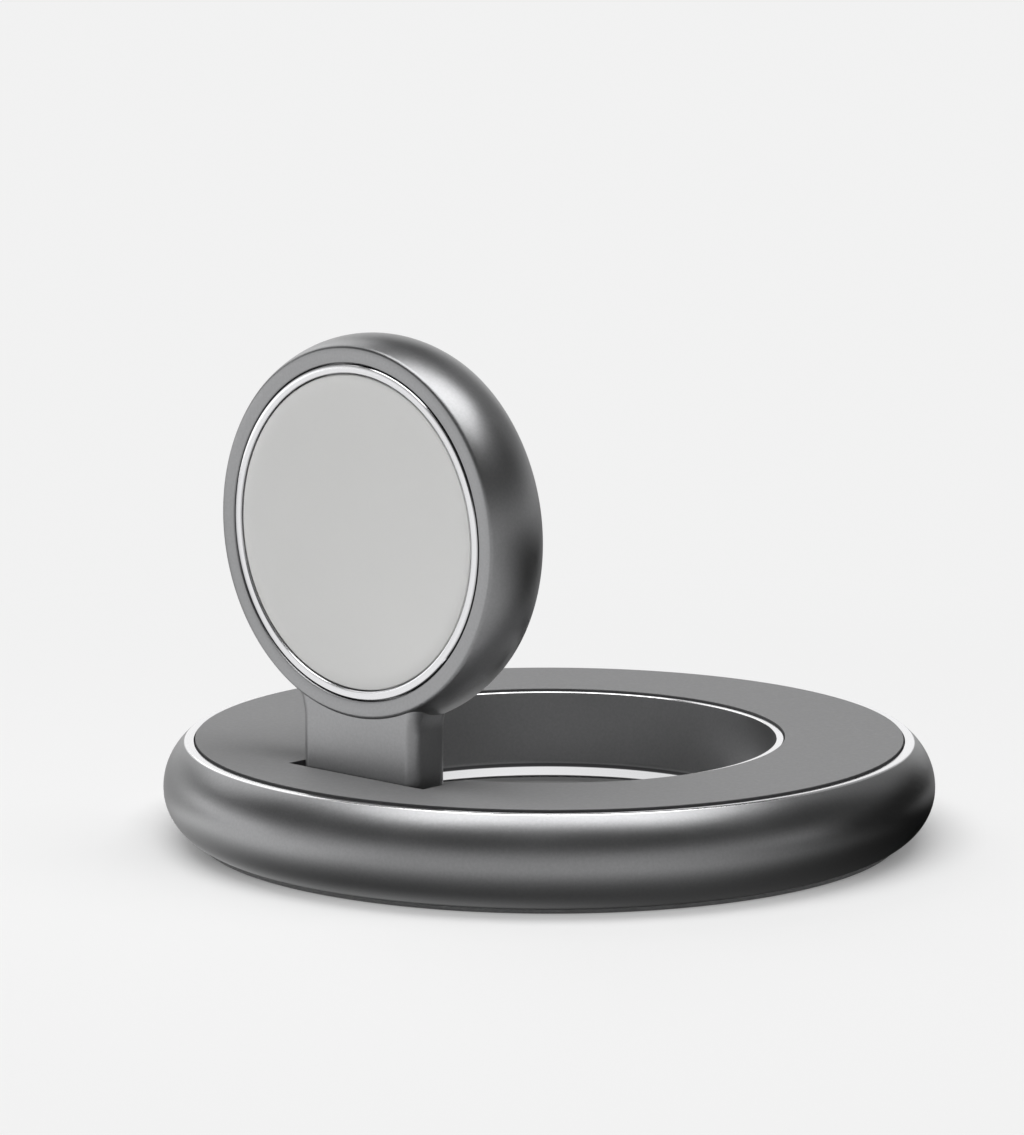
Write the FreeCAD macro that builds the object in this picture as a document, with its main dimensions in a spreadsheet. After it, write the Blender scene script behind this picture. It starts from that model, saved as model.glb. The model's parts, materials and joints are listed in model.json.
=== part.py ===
"""Flip-up charging stand for a wrist watch: a weighted ring base and a hinged round charging head.

Millimetres. +Z is up, the origin is the middle of the ring on the table, the charging face looks
along -Y and the hinge axis lies along X. The head is drawn upright, against its stop.
"""
import FreeCAD
import Part
import math
import os
import Sketcher
from types import SimpleNamespace

# Driving dimensions, one row each in the sheet.
SIZES = {
    # base ring
    "ring_radius": 36.0,
    "ring_height": 9.1,
    "belly_height": 4.75,
    "top_slope": 2.1,
    "base_slope": 3.1,
    "outer_wall": 4.4,
    "channel_width": 6.9,
    "inner_wall": 3.5,
    "hole_edge_radius": 2.0,
    "outer_rim_width": 0.8,
    "inner_rim_width": 0.7,
    "deck_thickness": 1.0,
    # pad, cover and foot
    "pad_thickness": 0.8,
    "pad_proud": 0.2,
    "cover_thickness": 1.3,
    "cover_ledge": 0.5,
    "foot_thickness": 0.4,
    "foot_inset": 0.3,
    "foot_hole_inset": 0.6,
    # clearance of pieces that are let into one another
    "fit_gap": 0.1,
    "press_gap": 0.02,
    "running_gap": 0.05,
    "swing_gap": 0.3,
    # screws
    "screw_radius": 0.8,
    "screw_head_radius": 1.7,
    "screw_head_height": 0.8,
    "screw_bite": 4.0,
    "boss_radius": 2.0,
    "boss_inset": 2.5,
    "front_boss_angle": -40.0,
    "rear_boss_angle": 44.0,
    "boss_margin_angle": 8.0,
    # hinge
    "hinge_inset": 2.3,
    "shaft_room": 0.2,
    "knuckle_radius": 2.4,
    "knuckle_width": 16.2,
    "ear_thickness": 4.0,
    "block_skin": 0.4,
    "block_floor": 0.45,
    "stop_gap": 0.05,
    "shaft_radius": 1.2,
    "shaft_bore": 0.75,
    "shaft_grip": 6.6,
    "bush_wall": 0.5,
    "washer_radius": 1.5,
    "washer_thickness": 0.35,
    "washer_pitch": 0.4,
    "nut_thickness": 1.2,
    "hollow_shaft_reach": 2.8,
    # head
    "head_height": 31.3,
    "face_lead": 2.5,
    "head_radius": 17.5,
    "head_depth": 6.8,
    "side_bulge": 0.9,
    "front_rim": 1.6,
    "rear_rim": 1.0,
    "neck_half_width": 7.0,
    "neck_flare_radius": 5.0,
    "neck_edge_radius": 1.2,
    "neck_sink": 0.3,
    "neck_step": 0.1,
    "trim_width": 0.8,
    "trim_depth": 1.0,
    "lip_width": 1.4,
    "lip_thickness": 0.6,
    "dish_rim": 0.9,
    "dish_depth": 1.0,
    "cup_inset": 0.1,
    "cup_skin": 0.8,
    "rear_cover_thickness": 1.2,
    "rear_ledge": 1.0,
    "board_ledge": 0.6,
    "coil_radius": 11.6,
    "coil_eye_radius": 5.4,
    "coil_thickness": 0.9,
    "ferrite_margin": 0.6,
    "ferrite_thickness": 0.7,
    "magnet_gap": 0.8,
    "magnet_thickness": 1.6,
    "coil_board_thickness": 0.8,
    # supply inlet, board, weights and leads
    "port_width": 8.94,
    "port_thickness": 3.16,
    "port_wall": 0.3,
    "port_length": 7.35,
    "port_recess": 0.8,
    "port_gap": 0.15,
    "port_pocket_depth": 1.9,
    "tongue_width": 6.69,
    "tongue_thickness": 0.7,
    "tongue_length": 4.45,
    "port_floor": 0.8,
    "board_thickness": 0.8,
    "header_margin_angle": 2.0,
    "board_screw_margin_angle": 10.0,
    "board_screw_radius": 0.6,
    "board_head_radius": 1.1,
    "board_head_height": 0.6,
    "chip_side": 3.6,
    "chip_height": 0.9,
    "choke_side": 3.2,
    "choke_height": 1.8,
    "header_width": 2.6,
    "header_length": 2.2,
    "header_height": 3.4,
    "board_part_angle": 15.5,
    "lead_radius": 0.6,
    "lead_lane_inset": 1.0,
    "lead_straight": 0.4,
    "neck_lead_bend": 1.2,
}

ORIGIN = FreeCAD.Vector(0, 0, 0)
UP = FreeCAD.Vector(0, 0, 1)
ACROSS = FreeCAD.Vector(1, 0, 0)


class Size:
    """A measure that carries its value and the sheet formula that gives it."""

    def __init__(self, value, formula=None):
        self.value = float(value)
        self.formula = repr(self.value) if formula is None else formula

    def _join(self, other, sign, value):
        return Size(value, f"({self.formula} {sign} {other.formula})")

    def __add__(self, other):
        other = as_size(other)
        return self._join(other, "+", self.value + other.value)

    def __sub__(self, other):
        other = as_size(other)
        return self._join(other, "-", self.value - other.value)

    def __mul__(self, other):
        other = as_size(other)
        return self._join(other, "*", self.value * other.value)

    def __truediv__(self, other):
        other = as_size(other)
        return self._join(other, "/", self.value / other.value)

    def __radd__(self, other):
        return as_size(other) + self

    def __rsub__(self, other):
        return as_size(other) - self

    def __rmul__(self, other):
        return as_size(other) * self

    def __neg__(self):
        return as_size(0) - self


def as_size(number):
    """A plain number as a Size, and a Size as it is."""
    return number if isinstance(number, Size) else Size(number)


def root(size):
    """Square root of a Size."""
    return Size(math.sqrt(size.value), f"sqrt({size.formula})")


def leg(long_side, short_side):
    """The other short side of a right-angled triangle."""
    return root(long_side * long_side - short_side * short_side)


def slope_angle(x, y):
    """Angle in degrees from the X axis to a point."""
    degrees = math.degrees(math.atan2(y.value, x.value))
    return Size(degrees, f"(atan2({y.formula}; {x.formula}) / 1 deg)")


def polar(radius, angle):
    """X and Y of a point at a radius and an angle in degrees."""
    turn = math.radians(as_size(angle).value)
    cosine = Size(math.cos(turn), f"cos({as_size(angle).formula})")
    sine = Size(math.sin(turn), f"sin({as_size(angle).formula})")
    return radius * cosine, radius * sine


doc = FreeCAD.newDocument("ChargingStand")
sheet = doc.addObject("Spreadsheet::Sheet", "Sizes")
for row, (alias, number) in enumerate(SIZES.items(), start=1):
    sheet.set(f"A{row}", alias.replace("_", " "))
    sheet.set(f"B{row}", str(number))
    sheet.setAlias(f"B{row}", alias)
doc.recompute()
s = SimpleNamespace(**{alias: Size(number, f"Sizes.{alias}") for alias, number in SIZES.items()})
nodes = []

# Levels of the base, from the table up.
cover_top = s.foot_thickness + s.cover_thickness
deck_top = s.ring_height + s.pad_proud - s.pad_thickness
deck_bottom = deck_top - s.deck_thickness
board_top = s.belly_height - s.port_thickness / 2
board_bottom = board_top - s.board_thickness
hinge_height = deck_bottom - s.shaft_room - s.washer_radius
ballast_height = hinge_height - s.lead_radius - s.swing_gap - cover_top

# Radii of the ring, from its outside in.
ring_base_radius = s.ring_radius - s.base_slope
channel_outer_radius = s.ring_radius - s.outer_wall
channel_middle_radius = channel_outer_radius - s.channel_width / 2
channel_inner_radius = channel_outer_radius - s.channel_width
hole_radius = channel_inner_radius - s.inner_wall

# Radii of the ring's top and of what is let into its underside.
rim_outer_radius = s.ring_radius - s.top_slope
recess_outer_radius = rim_outer_radius - s.outer_rim_width
pad_outer_radius = recess_outer_radius - s.fit_gap
recess_inner_radius = hole_radius + s.inner_rim_width
pad_inner_radius = recess_inner_radius + s.fit_gap
cover_pocket_inner = channel_inner_radius - s.cover_ledge
cover_pocket_outer = channel_outer_radius + s.cover_ledge
boss_circle_radius = channel_inner_radius + s.boss_inset
lead_lane_radius = channel_outer_radius - s.lead_lane_inset

# Hinge: half widths along X from the knuckle outwards, and places in front of the ring's middle.
hinge_setback = hole_radius + s.hinge_inset
hinge_y = -hinge_setback
trough_half_width = s.knuckle_width / 2 + s.swing_gap
block_half_width = trough_half_width + s.ear_thickness
trough_radius = s.knuckle_radius + s.swing_gap
bush_radius = s.shaft_radius + s.running_gap + s.bush_wall
block_seat = hinge_height - trough_radius - s.block_floor
block_screw_x = trough_half_width + s.ear_thickness / 2
block_screw_setback = leg(channel_outer_radius - s.boss_radius - s.swing_gap, block_screw_x)
block_front = block_screw_setback + s.screw_radius + s.block_skin

# Angles from the inlet of what lies in the channel.
board_half_angle = 90 - s.rear_boss_angle - s.boss_margin_angle
board_screw_angle = board_half_angle - s.board_screw_margin_angle
ballast_half_angle = (s.rear_boss_angle - s.front_boss_angle) / 2 - s.boss_margin_angle
lead_end_angle = 90 - board_half_angle + s.header_margin_angle

# Head: place of the face and radii from the outside in.
face_setback = hinge_setback + s.face_lead
head_edge_radius = s.head_radius - s.side_bulge
trim_radius = head_edge_radius - s.front_rim
trim_inner_radius = trim_radius - s.trim_width
cup_radius = trim_inner_radius - s.fit_gap
dish_radius = cup_radius - s.dish_rim
rear_cover_radius = head_edge_radius - s.rear_rim
coil_board_radius = rear_cover_radius - s.rear_ledge
cavity_radius = coil_board_radius - s.board_ledge
ferrite_radius = s.coil_radius + s.ferrite_margin
magnet_radius = s.coil_eye_radius - s.magnet_gap

# Head: depths behind the front face.
cup_seat = s.trim_depth
lip_back = cup_seat + s.lip_thickness
cup_back = s.cup_inset + s.dish_depth + s.cup_skin
ferrite_front = cup_back + s.coil_thickness
magnet_front = cup_back
rear_cover_front = s.head_depth - s.rear_cover_thickness
coil_board_back = rear_cover_front
coil_board_front = coil_board_back - s.coil_board_thickness

# Supply inlet.
port_mouth = s.ring_radius - s.port_recess
port_back = port_mouth - s.port_length
pocket_y = channel_outer_radius + s.port_pocket_depth


def bind(obj, prop, size):
    """Tie a property to its sheet formula."""
    obj.setExpression(prop, as_size(size).formula)


def put(obj, x=0, y=0, z=0):
    """Tie an object's place to the sheet."""
    for axis, size in zip("xyz", (x, y, z)):
        bind(obj, f"Placement.Base.{axis}", size)


def node(obj, label):
    """Name a finished sub-part and keep it for export."""
    obj.Label = label
    nodes.append(obj)
    return obj


def new_body(label, x=0, y=0, z=0):
    """A body of its own for one sub-part."""
    body = doc.addObject("PartDesign::Body", f"{label}_body")
    put(body, x, y, z)
    return node(body, label)


def sketch_on(body, role, lift=0):
    """A sketch on one of the body's own planes, lifted along the plane's normal."""
    plane = next(item for item in body.Origin.OriginFeatures if item.Role == role)
    sketch = body.newObject("Sketcher::SketchObject", f"{body.Label}_sketch")
    sketch.AttachmentSupport = [(plane, "")]
    sketch.MapMode = "FlatFace"
    bind(sketch, "AttachmentOffset.Base.z", lift)
    return sketch


def constrain(sketch, constraint, size):
    """Add a dimension to a sketch and tie it to the sheet."""
    index = sketch.addConstraint(constraint)
    name = f"size_{index}"
    sketch.renameConstraint(index, name)
    bind(sketch, f"Constraints.{name}", size)


def pin_point(sketch, geometry, end, point):
    """Fix one point of a sketch's geometry by its X and Y."""
    for size, kind, axis in ((as_size(point[0]), "DistanceX", -2), (as_size(point[1]), "DistanceY", -1)):
        if size.value == 0:
            sketch.addConstraint(Sketcher.Constraint("PointOnObject", geometry, end, axis))
        else:
            constrain(sketch, Sketcher.Constraint(kind, -1, 1, geometry, end, size.value), size)


def flat(point):
    """A sketch point as a vector."""
    return FreeCAD.Vector(as_size(point[0]).value, as_size(point[1]).value, 0)


def arc_through(start, end, radius, turn):
    """The short arc between two points, anticlockwise for a turn of 1 and clockwise for -1."""
    chord = end - start
    rise = math.sqrt(max(radius ** 2 - (chord.Length / 2) ** 2, 0))
    left = FreeCAD.Vector(-chord.y, chord.x, 0).normalize()
    centre = (start + end) * 0.5 + left * (rise * turn)
    first, last = (start, end) if turn > 0 else (end, start)
    angles = [math.atan2(point.y - centre.y, point.x - centre.x) for point in (first, last)]
    return Part.ArcOfCircle(Part.Circle(centre, UP, radius), *angles)


def chain(sketch, points, arcs=None, closed=True):
    """Lines through the points; arcs maps a side's number to its radius and turn."""
    arcs = arcs or {}
    count = len(points) if closed else len(points) - 1
    ends = []
    for side in range(count):
        start, end = flat(points[side]), flat(points[(side + 1) % len(points)])
        if side in arcs:
            radius, turn = arcs[side]
            index = sketch.addGeometry(arc_through(start, end, radius.value, turn))
            ends.append((index, 1, 2) if turn > 0 else (index, 2, 1))
        else:
            index = sketch.addGeometry(Part.LineSegment(start, end))
            ends.append((index, 1, 2))
    for side in range(count if closed else count - 1):
        index, _, end = ends[side]
        following, start, _ = ends[(side + 1) % count]
        sketch.addConstraint(Sketcher.Constraint("Coincident", index, end, following, start))
    for side, point in enumerate(points):
        index, start, end = ends[min(side, count - 1)]
        pin_point(sketch, index, start if side < count else end, point)
    for side, (radius, _) in arcs.items():
        constrain(sketch, Sketcher.Constraint("Radius", ends[side][0], radius.value), radius)


def circle(sketch, x, y, radius):
    """A circle in a sketch."""
    index = sketch.addGeometry(Part.Circle(flat((x, y)), UP, as_size(radius).value))
    pin_point(sketch, index, 3, (x, y))
    constrain(sketch, Sketcher.Constraint("Radius", index, as_size(radius).value), radius)


def rectangle(sketch, x_low, x_high, y_low, y_high):
    """An upright rectangle in a sketch."""
    chain(sketch, [(x_low, y_low), (x_high, y_low), (x_high, y_high), (x_low, y_high)])


def slot_outline(sketch, width, height, y):
    """A flat-sided oval in a sketch, its long way along X and its middle at the given Y."""
    straight = (width - height) / 2
    cap = height / 2
    points = []
    for sign in (1, -1):
        points += [(sign * straight, y - sign * cap), (sign * straight + sign * cap, y)]
        points += [(sign * straight, y + sign * cap)]
    chain(sketch, points, {0: (cap, 1), 1: (cap, 1), 3: (cap, 1), 4: (cap, 1)})


def add(body, kind, sketch):
    """A feature made from a sketch."""
    feature = body.newObject(f"PartDesign::{kind}", f"{body.Label}_{kind.lower()}")
    feature.Profile = sketch
    sketch.Visibility = False
    return feature


def pad(body, sketch, length, both_ways=False, backwards=False):
    """Raise a sketch by a length."""
    feature = add(body, "Pad", sketch)
    bind(feature, "Length", length)
    feature.SideType = "Symmetric" if both_ways else "One side"
    feature.Reversed = backwards
    return feature


def pocket(body, sketch, length=None, both_ways=False, backwards=False):
    """Cut a sketch into a body by a length, or right through it."""
    feature = add(body, "Pocket", sketch)
    feature.SideType = "Symmetric" if both_ways else "One side"
    feature.Reversed = backwards
    if length is None:
        feature.Type = "ThroughAll"
    else:
        bind(feature, "Length", length)
    return feature


def revolve(body, sketch):
    """Turn a sketch right round its own upright axis."""
    feature = add(body, "Revolution", sketch)
    feature.ReferenceAxis = (sketch, ["V_Axis"])
    feature.Angle = 360
    return feature


def turned(label, points, arcs=None):
    """A base sub-part turned about Z, from its section in radius and height."""
    body = new_body(label)
    sketch = sketch_on(body, "XZ_Plane")
    chain(sketch, points, arcs)
    revolve(body, sketch)
    return body


def turned_head(label, points, arcs=None):
    """A head sub-part turned about the charging axis, from its section in radius and depth."""
    body = new_body(label, 0, -face_setback, s.head_height)
    sketch = sketch_on(body, "XY_Plane")
    chain(sketch, points, arcs)
    revolve(body, sketch)
    return body


def washer_section(inner, outer, low, high):
    """Section of a flat ring or, with no inner radius, of a disc."""
    return [(inner, low), (outer, low), (outer, high), (inner, high)]


def cylinder(name, radius, height, x=0, y=0, z=0, along=None):
    """A plain cylinder that starts at a point and runs along Z or another way."""
    solid = doc.addObject("Part::Cylinder", name)
    bind(solid, "Radius", radius)
    bind(solid, "Height", height)
    if along is not None:
        solid.Placement = FreeCAD.Placement(ORIGIN, FreeCAD.Rotation(UP, along))
    put(solid, x, y, z)
    return solid


def fuse(name, base, tool):
    """Two primitives joined into one solid."""
    solid = doc.addObject("Part::Fuse", name)
    solid.Base = base
    solid.Tool = tool
    return solid


def cut(name, base, tool):
    """One primitive with another cut out of it."""
    solid = doc.addObject("Part::Cut", name)
    solid.Base = base
    solid.Tool = tool
    return solid


def group(label, solids):
    """Like pieces kept together as separate solids of one sub-part."""
    compound = doc.addObject("Part::Compound", f"{label}_group")
    compound.Links = solids
    return node(compound, label)


def screw(name, x, y, head_base, head_radius, head_height, shank_radius, shank, upwards=True):
    """A cheese-head screw that stands on its head, or hangs by it."""
    head = cylinder(f"{name}_head", head_radius, head_height, x, y, head_base)
    shank_base = head_base + head_height if upwards else head_base - shank
    body = cylinder(f"{name}_shank", shank_radius, shank, x, y, shank_base)
    return fuse(name, head, body)


def boss_places():
    """X and Y of the bosses that take the cover's screws, a mirrored pair at each angle."""
    places = []
    for angle in (s.front_boss_angle, s.rear_boss_angle):
        x, y = polar(boss_circle_radius, angle)
        places += [(x, y), (-x, y)]
    return places


def block_screw_places():
    """X and Y of the screws under the hinge block's two ears."""
    return [(block_screw_x, -block_screw_setback), (-block_screw_x, -block_screw_setback)]


def board_screw_places():
    """X and Y of the supply board's screws."""
    angles = (90 + board_screw_angle, 90 - board_screw_angle)
    return [polar(channel_middle_radius, angle) for angle in angles]


def hinge_circle(sketch, radius):
    """A circle about the hinge axis, on a sketch across X."""
    circle(sketch, hinge_y, hinge_height, radius)


def build_base_ring():
    """Turned ring: half-round outside, pad recess, channel, hinge notch, bosses and inlet."""
    upper = ((s.ring_radius - rim_outer_radius), (s.ring_height - s.belly_height))
    lower = ((s.ring_radius - ring_base_radius), (s.belly_height - s.foot_thickness))
    upper_radius, lower_radius = [(d * d + h * h) / (2 * d) for d, h in (upper, lower)]
    points = [
        (recess_outer_radius, deck_top),
        (recess_outer_radius, s.ring_height),
        (rim_outer_radius, s.ring_height),
        (s.ring_radius, s.belly_height),
        (ring_base_radius, s.foot_thickness),
        (cover_pocket_outer, s.foot_thickness),
        (cover_pocket_outer, cover_top),
        (channel_outer_radius, cover_top),
        (channel_outer_radius, deck_bottom),
        (channel_inner_radius, deck_bottom),
        (channel_inner_radius, cover_top),
        (cover_pocket_inner, cover_top),
        (cover_pocket_inner, s.foot_thickness),
        (hole_radius + s.hole_edge_radius, s.foot_thickness),
        (hole_radius, s.foot_thickness + s.hole_edge_radius),
        (hole_radius, s.ring_height),
        (recess_inner_radius, s.ring_height),
        (recess_inner_radius, deck_top),
    ]
    arcs = {2: (upper_radius, -1), 3: (lower_radius, -1), 13: (s.hole_edge_radius, -1)}
    body = turned("base_ring", points, arcs)

    bosses = sketch_on(body, "XY_Plane", cover_top)
    for x, y in boss_places():
        circle(bosses, x, y, s.boss_radius)
    pad(body, bosses, deck_top - cover_top)
    pilots = sketch_on(body, "XY_Plane", cover_top)
    for x, y in boss_places():
        circle(pilots, x, y, s.screw_radius)
    pocket(body, pilots, s.screw_bite + s.fit_gap, backwards=True)

    notch = sketch_on(body, "XY_Plane", block_seat)
    half = block_half_width + s.fit_gap
    rectangle(notch, -half, half, -(block_front + s.fit_gap), 0)
    pocket(body, notch, backwards=True)

    inlet_room = sketch_on(body, "XY_Plane", cover_top)
    half = s.port_width / 2 + s.swing_gap
    rectangle(inlet_room, -half, half, channel_inner_radius, pocket_y)
    pocket(body, inlet_room, board_top + s.port_thickness + s.swing_gap - cover_top, backwards=True)
    mouth = sketch_on(body, "XZ_Plane", -channel_outer_radius)
    gap = 2 * s.port_gap
    slot_outline(mouth, s.port_width + gap, s.port_thickness + gap, s.belly_height)
    pocket(body, mouth, s.ring_radius - channel_outer_radius)


def build_top_pad():
    """Soft inlay pad with a notch for the hinge."""
    section = washer_section(pad_inner_radius, pad_outer_radius, deck_top, deck_top + s.pad_thickness)
    body = turned("top_pad", section)
    notch = sketch_on(body, "XY_Plane")
    front = hinge_setback + s.knuckle_radius + s.stop_gap
    rectangle(notch, -trough_half_width, trough_half_width, -front, 0)
    pocket(body, notch, backwards=True)


def build_base_cover():
    """Moulded plate with posts for the hinge block and the supply board, and sunk screw holes."""
    inner = cover_pocket_inner + s.fit_gap
    outer = cover_pocket_outer - s.fit_gap
    body = turned("base_cover", washer_section(inner, outer, s.foot_thickness, cover_top))
    root_level = s.foot_thickness + s.cover_thickness / 2
    for places, radius, top in (
        (block_screw_places(), s.boss_radius, block_seat),
        (board_screw_places(), s.board_head_radius, board_bottom),
    ):
        posts = sketch_on(body, "XY_Plane", root_level)
        for x, y in places:
            circle(posts, x, y, radius)
        pad(body, posts, top - root_level)
    screws = boss_places() + block_screw_places()
    for radius, depth in (
        (s.screw_head_radius + s.fit_gap, s.screw_head_height),
        (s.screw_radius + s.fit_gap, None),
    ):
        holes = sketch_on(body, "XY_Plane", s.foot_thickness)
        for x, y in screws:
            circle(holes, x, y, radius)
        pocket(body, holes, depth, backwards=True)
    pilots = sketch_on(body, "XY_Plane", s.foot_thickness)
    for x, y in board_screw_places():
        circle(pilots, x, y, s.board_screw_radius)
    pocket(body, pilots, backwards=True)


def build_foot_ring():
    """Thin soft foot under the ring and its cover."""
    inner = hole_radius + s.hole_edge_radius + s.foot_hole_inset
    outer = ring_base_radius - s.foot_inset
    turned("foot_ring", washer_section(inner, outer, 0, s.foot_thickness))


def build_base_screws():
    """Screws of the cover, of the hinge block and of the supply board."""
    plate = s.cover_thickness - s.screw_head_height
    for label, places, grip in (
        ("cover_screws", boss_places(), plate),
        ("block_screws", block_screw_places(), block_seat - s.foot_thickness - s.screw_head_height),
    ):
        screws = []
        for number, (x, y) in enumerate(places):
            name = f"{label}_{number}"
            size = (s.foot_thickness, s.screw_head_radius, s.screw_head_height, s.screw_radius)
            screws.append(screw(name, x, y, *size, grip + s.screw_bite))
        group(label, screws)
    screws = []
    for number, (x, y) in enumerate(board_screw_places()):
        size = (board_top, s.board_head_radius, s.board_head_height, s.board_screw_radius)
        shank = board_top - cover_top
        screws.append(screw(f"board_screw_{number}", x, y, *size, shank, upwards=False))
    group("board_screws", screws)


def build_hinge_block():
    """Cast insert: continues the ring's inner wall and rim, with a trough and two ears."""
    points = [
        (hole_radius, block_seat),
        (channel_outer_radius, block_seat),
        (channel_outer_radius, deck_top),
        (recess_inner_radius, deck_top),
        (recess_inner_radius, s.ring_height),
        (hole_radius, s.ring_height),
    ]
    body = turned("hinge_block", points)
    sides = sketch_on(body, "XY_Plane")
    reach = s.ring_radius
    rectangle(sides, -reach, reach, -reach, reach)
    rectangle(sides, -block_half_width, block_half_width, -block_front, 0)
    pocket(body, sides, backwards=True)

    trough = sketch_on(body, "YZ_Plane")
    stop = -(hinge_setback + s.knuckle_radius + s.stop_gap)
    above = s.ring_height + s.pad_proud
    floor = hinge_height - trough_radius
    points = [
        (stop, above),
        (stop, hinge_height + leg(trough_radius, s.knuckle_radius + s.stop_gap)),
        (hinge_y - trough_radius, hinge_height),
        (hinge_y, floor),
        (0, floor),
        (0, above),
    ]
    chain(trough, points, {1: (trough_radius, 1), 2: (trough_radius, 1)})
    pocket(body, trough, 2 * trough_half_width, both_ways=True)

    bores = sketch_on(body, "YZ_Plane")
    hinge_circle(bores, bush_radius + s.press_gap)
    pocket(body, bores, 4 * block_half_width, both_ways=True)
    pilots = sketch_on(body, "XY_Plane", block_seat)
    for x, y in block_screw_places():
        circle(pilots, x, y, s.screw_radius)
    pocket(body, pilots, s.screw_bite + s.fit_gap, backwards=True)


def build_hinge_bushes():
    """Plain bearings pressed into the block's ears."""
    bushes = []
    for side, start in (("right", trough_half_width), ("left", -block_half_width)):
        place = (start, hinge_y, hinge_height, ACROSS)
        outside = cylinder(f"bush_{side}_outside", bush_radius, s.ear_thickness, *place)
        bore = cylinder(f"bush_{side}_bore", s.shaft_radius + s.running_gap, s.ear_thickness, *place)
        bushes.append(cut(f"bush_{side}", outside, bore))
    group("hinge_bushes", bushes)


def arc_sector(sketch, inner, outer, middle_angle, half_angle):
    """A piece of a flat ring in a sketch, less than half of it."""
    low = middle_angle - half_angle
    high = middle_angle + half_angle
    points = [polar(inner, low), polar(outer, low), polar(outer, high), polar(inner, high)]
    chain(sketch, points, {1: (outer, 1), 3: (inner, -1)})


def build_ballast():
    """Steel weights that lie on the cover, one on each side of the channel."""
    inner = channel_inner_radius + s.swing_gap
    outer = channel_outer_radius - s.swing_gap
    middle = (s.front_boss_angle + s.rear_boss_angle) / 2
    for label, angle in (("ballast_right", middle), ("ballast_left", 180 - middle)):
        body = new_body(label, z=cover_top)
        sketch = sketch_on(body, "XY_Plane")
        arc_sector(sketch, inner, outer, angle, ballast_half_angle)
        pad(body, sketch, ballast_height)


def build_main_board():
    """Supply board: part of a flat ring, with a tab under the inlet and two screw holes."""
    inner = channel_inner_radius + s.swing_gap
    outer = channel_outer_radius - s.swing_gap
    body = new_body("main_board", z=board_bottom)
    plate = sketch_on(body, "XY_Plane")
    arc_sector(plate, inner, outer, as_size(90), board_half_angle)
    pad(body, plate, s.board_thickness)
    tab = sketch_on(body, "XY_Plane")
    half = s.port_width / 2
    rectangle(tab, -half, half, inner + s.port_gap, pocket_y - s.swing_gap)
    pad(body, tab, s.board_thickness)
    holes = sketch_on(body, "XY_Plane")
    for x, y in board_screw_places():
        circle(holes, x, y, s.board_screw_radius + s.press_gap)
    pocket(body, holes, backwards=True)


def board_block(label, radius, width, length, height, angle, shift=0):
    """A block on the supply board, its near side shifted from the radial plane at an angle."""
    solid = doc.addObject("Part::Box", f"{label}_box")
    bind(solid, "Length", width)
    bind(solid, "Width", length)
    bind(solid, "Height", height)
    solid.Placement = FreeCAD.Placement(ORIGIN, FreeCAD.Rotation(UP, angle.value))
    bind(solid, "Placement.Rotation.Angle", angle)
    x, y = polar(radius - width / 2, angle)
    shift_x, shift_y = polar(as_size(shift), angle + 90)
    put(solid, x + shift_x, y + shift_y, board_top)
    return node(solid, label)


def build_board_parts():
    """Controller, choke and lead header on the supply board."""
    for label, side, height, angle in (
        ("controller_chip", s.chip_side, s.chip_height, 90 - s.board_part_angle),
        ("choke_coil", s.choke_side, s.choke_height, 90 + s.board_part_angle),
    ):
        board_block(label, channel_middle_radius, side, side, height, angle, shift=-side / 2)
    header = (s.header_width, s.header_length, s.header_height)
    board_block("lead_header", lead_lane_radius - s.lead_radius, *header, lead_end_angle)


def build_port():
    """Supply inlet: oval steel shell with a closed back, and the contact tongue inside it."""
    shell = new_body("port_shell", y=port_mouth, z=s.belly_height)
    outside = sketch_on(shell, "XZ_Plane")
    slot_outline(outside, s.port_width, s.port_thickness, 0)
    pad(shell, outside, s.port_length)
    inside = sketch_on(shell, "XZ_Plane")
    wall = 2 * s.port_wall
    slot_outline(inside, s.port_width - wall, s.port_thickness - wall, 0)
    pocket(shell, inside, s.port_length - s.port_floor, backwards=True)

    tongue = new_body("port_tongue", y=port_back + s.port_floor, z=s.belly_height)
    blade = sketch_on(tongue, "XZ_Plane")
    slot_outline(blade, s.tongue_width, s.tongue_thickness, 0)
    pad(tongue, blade, s.tongue_length, backwards=True)


def bend_piece(name, bend_radius, sweep, placement, centre):
    """A round bend of a lead, from its own X axis onwards."""
    solid = doc.addObject("Part::Torus", name)
    bind(solid, "Radius1", bend_radius)
    bind(solid, "Radius2", s.lead_radius)
    bind(solid, "Angle3", sweep)
    solid.Placement = FreeCAD.Placement(ORIGIN, placement)
    put(solid, *centre)
    return solid


def build_base_lead():
    """Lead from the hollow shaft, round the channel, to its header."""
    begin = block_half_width + s.hollow_shaft_reach
    bend_x = begin + s.lead_straight
    squares = bend_x * bend_x + hinge_setback * hinge_setback - lead_lane_radius * lead_lane_radius
    bend = squares / (2 * (hinge_setback - lead_lane_radius))
    bend_y = bend - hinge_setback
    lane_angle = slope_angle(bend_x, bend_y)
    level = hinge_height
    place = (begin, hinge_y, level, ACROSS)
    straight = cylinder("base_lead_start", s.lead_radius, s.lead_straight, *place)
    start_turn = FreeCAD.Rotation(UP, -90)
    corner = bend_piece("base_lead_bend", bend, 90 + lane_angle, start_turn, (bend_x, bend_y, level))
    lane_turn = FreeCAD.Rotation(UP, lane_angle.value)
    lane_sweep = lead_end_angle - lane_angle
    lane = bend_piece("base_lead_lane", lead_lane_radius, lane_sweep, lane_turn, (0, 0, level))
    bind(lane, "Placement.Rotation.Angle", lane_angle)
    node(fuse("base_lead_whole", fuse("base_lead_hook", straight, corner), lane), "base_lead")


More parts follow.
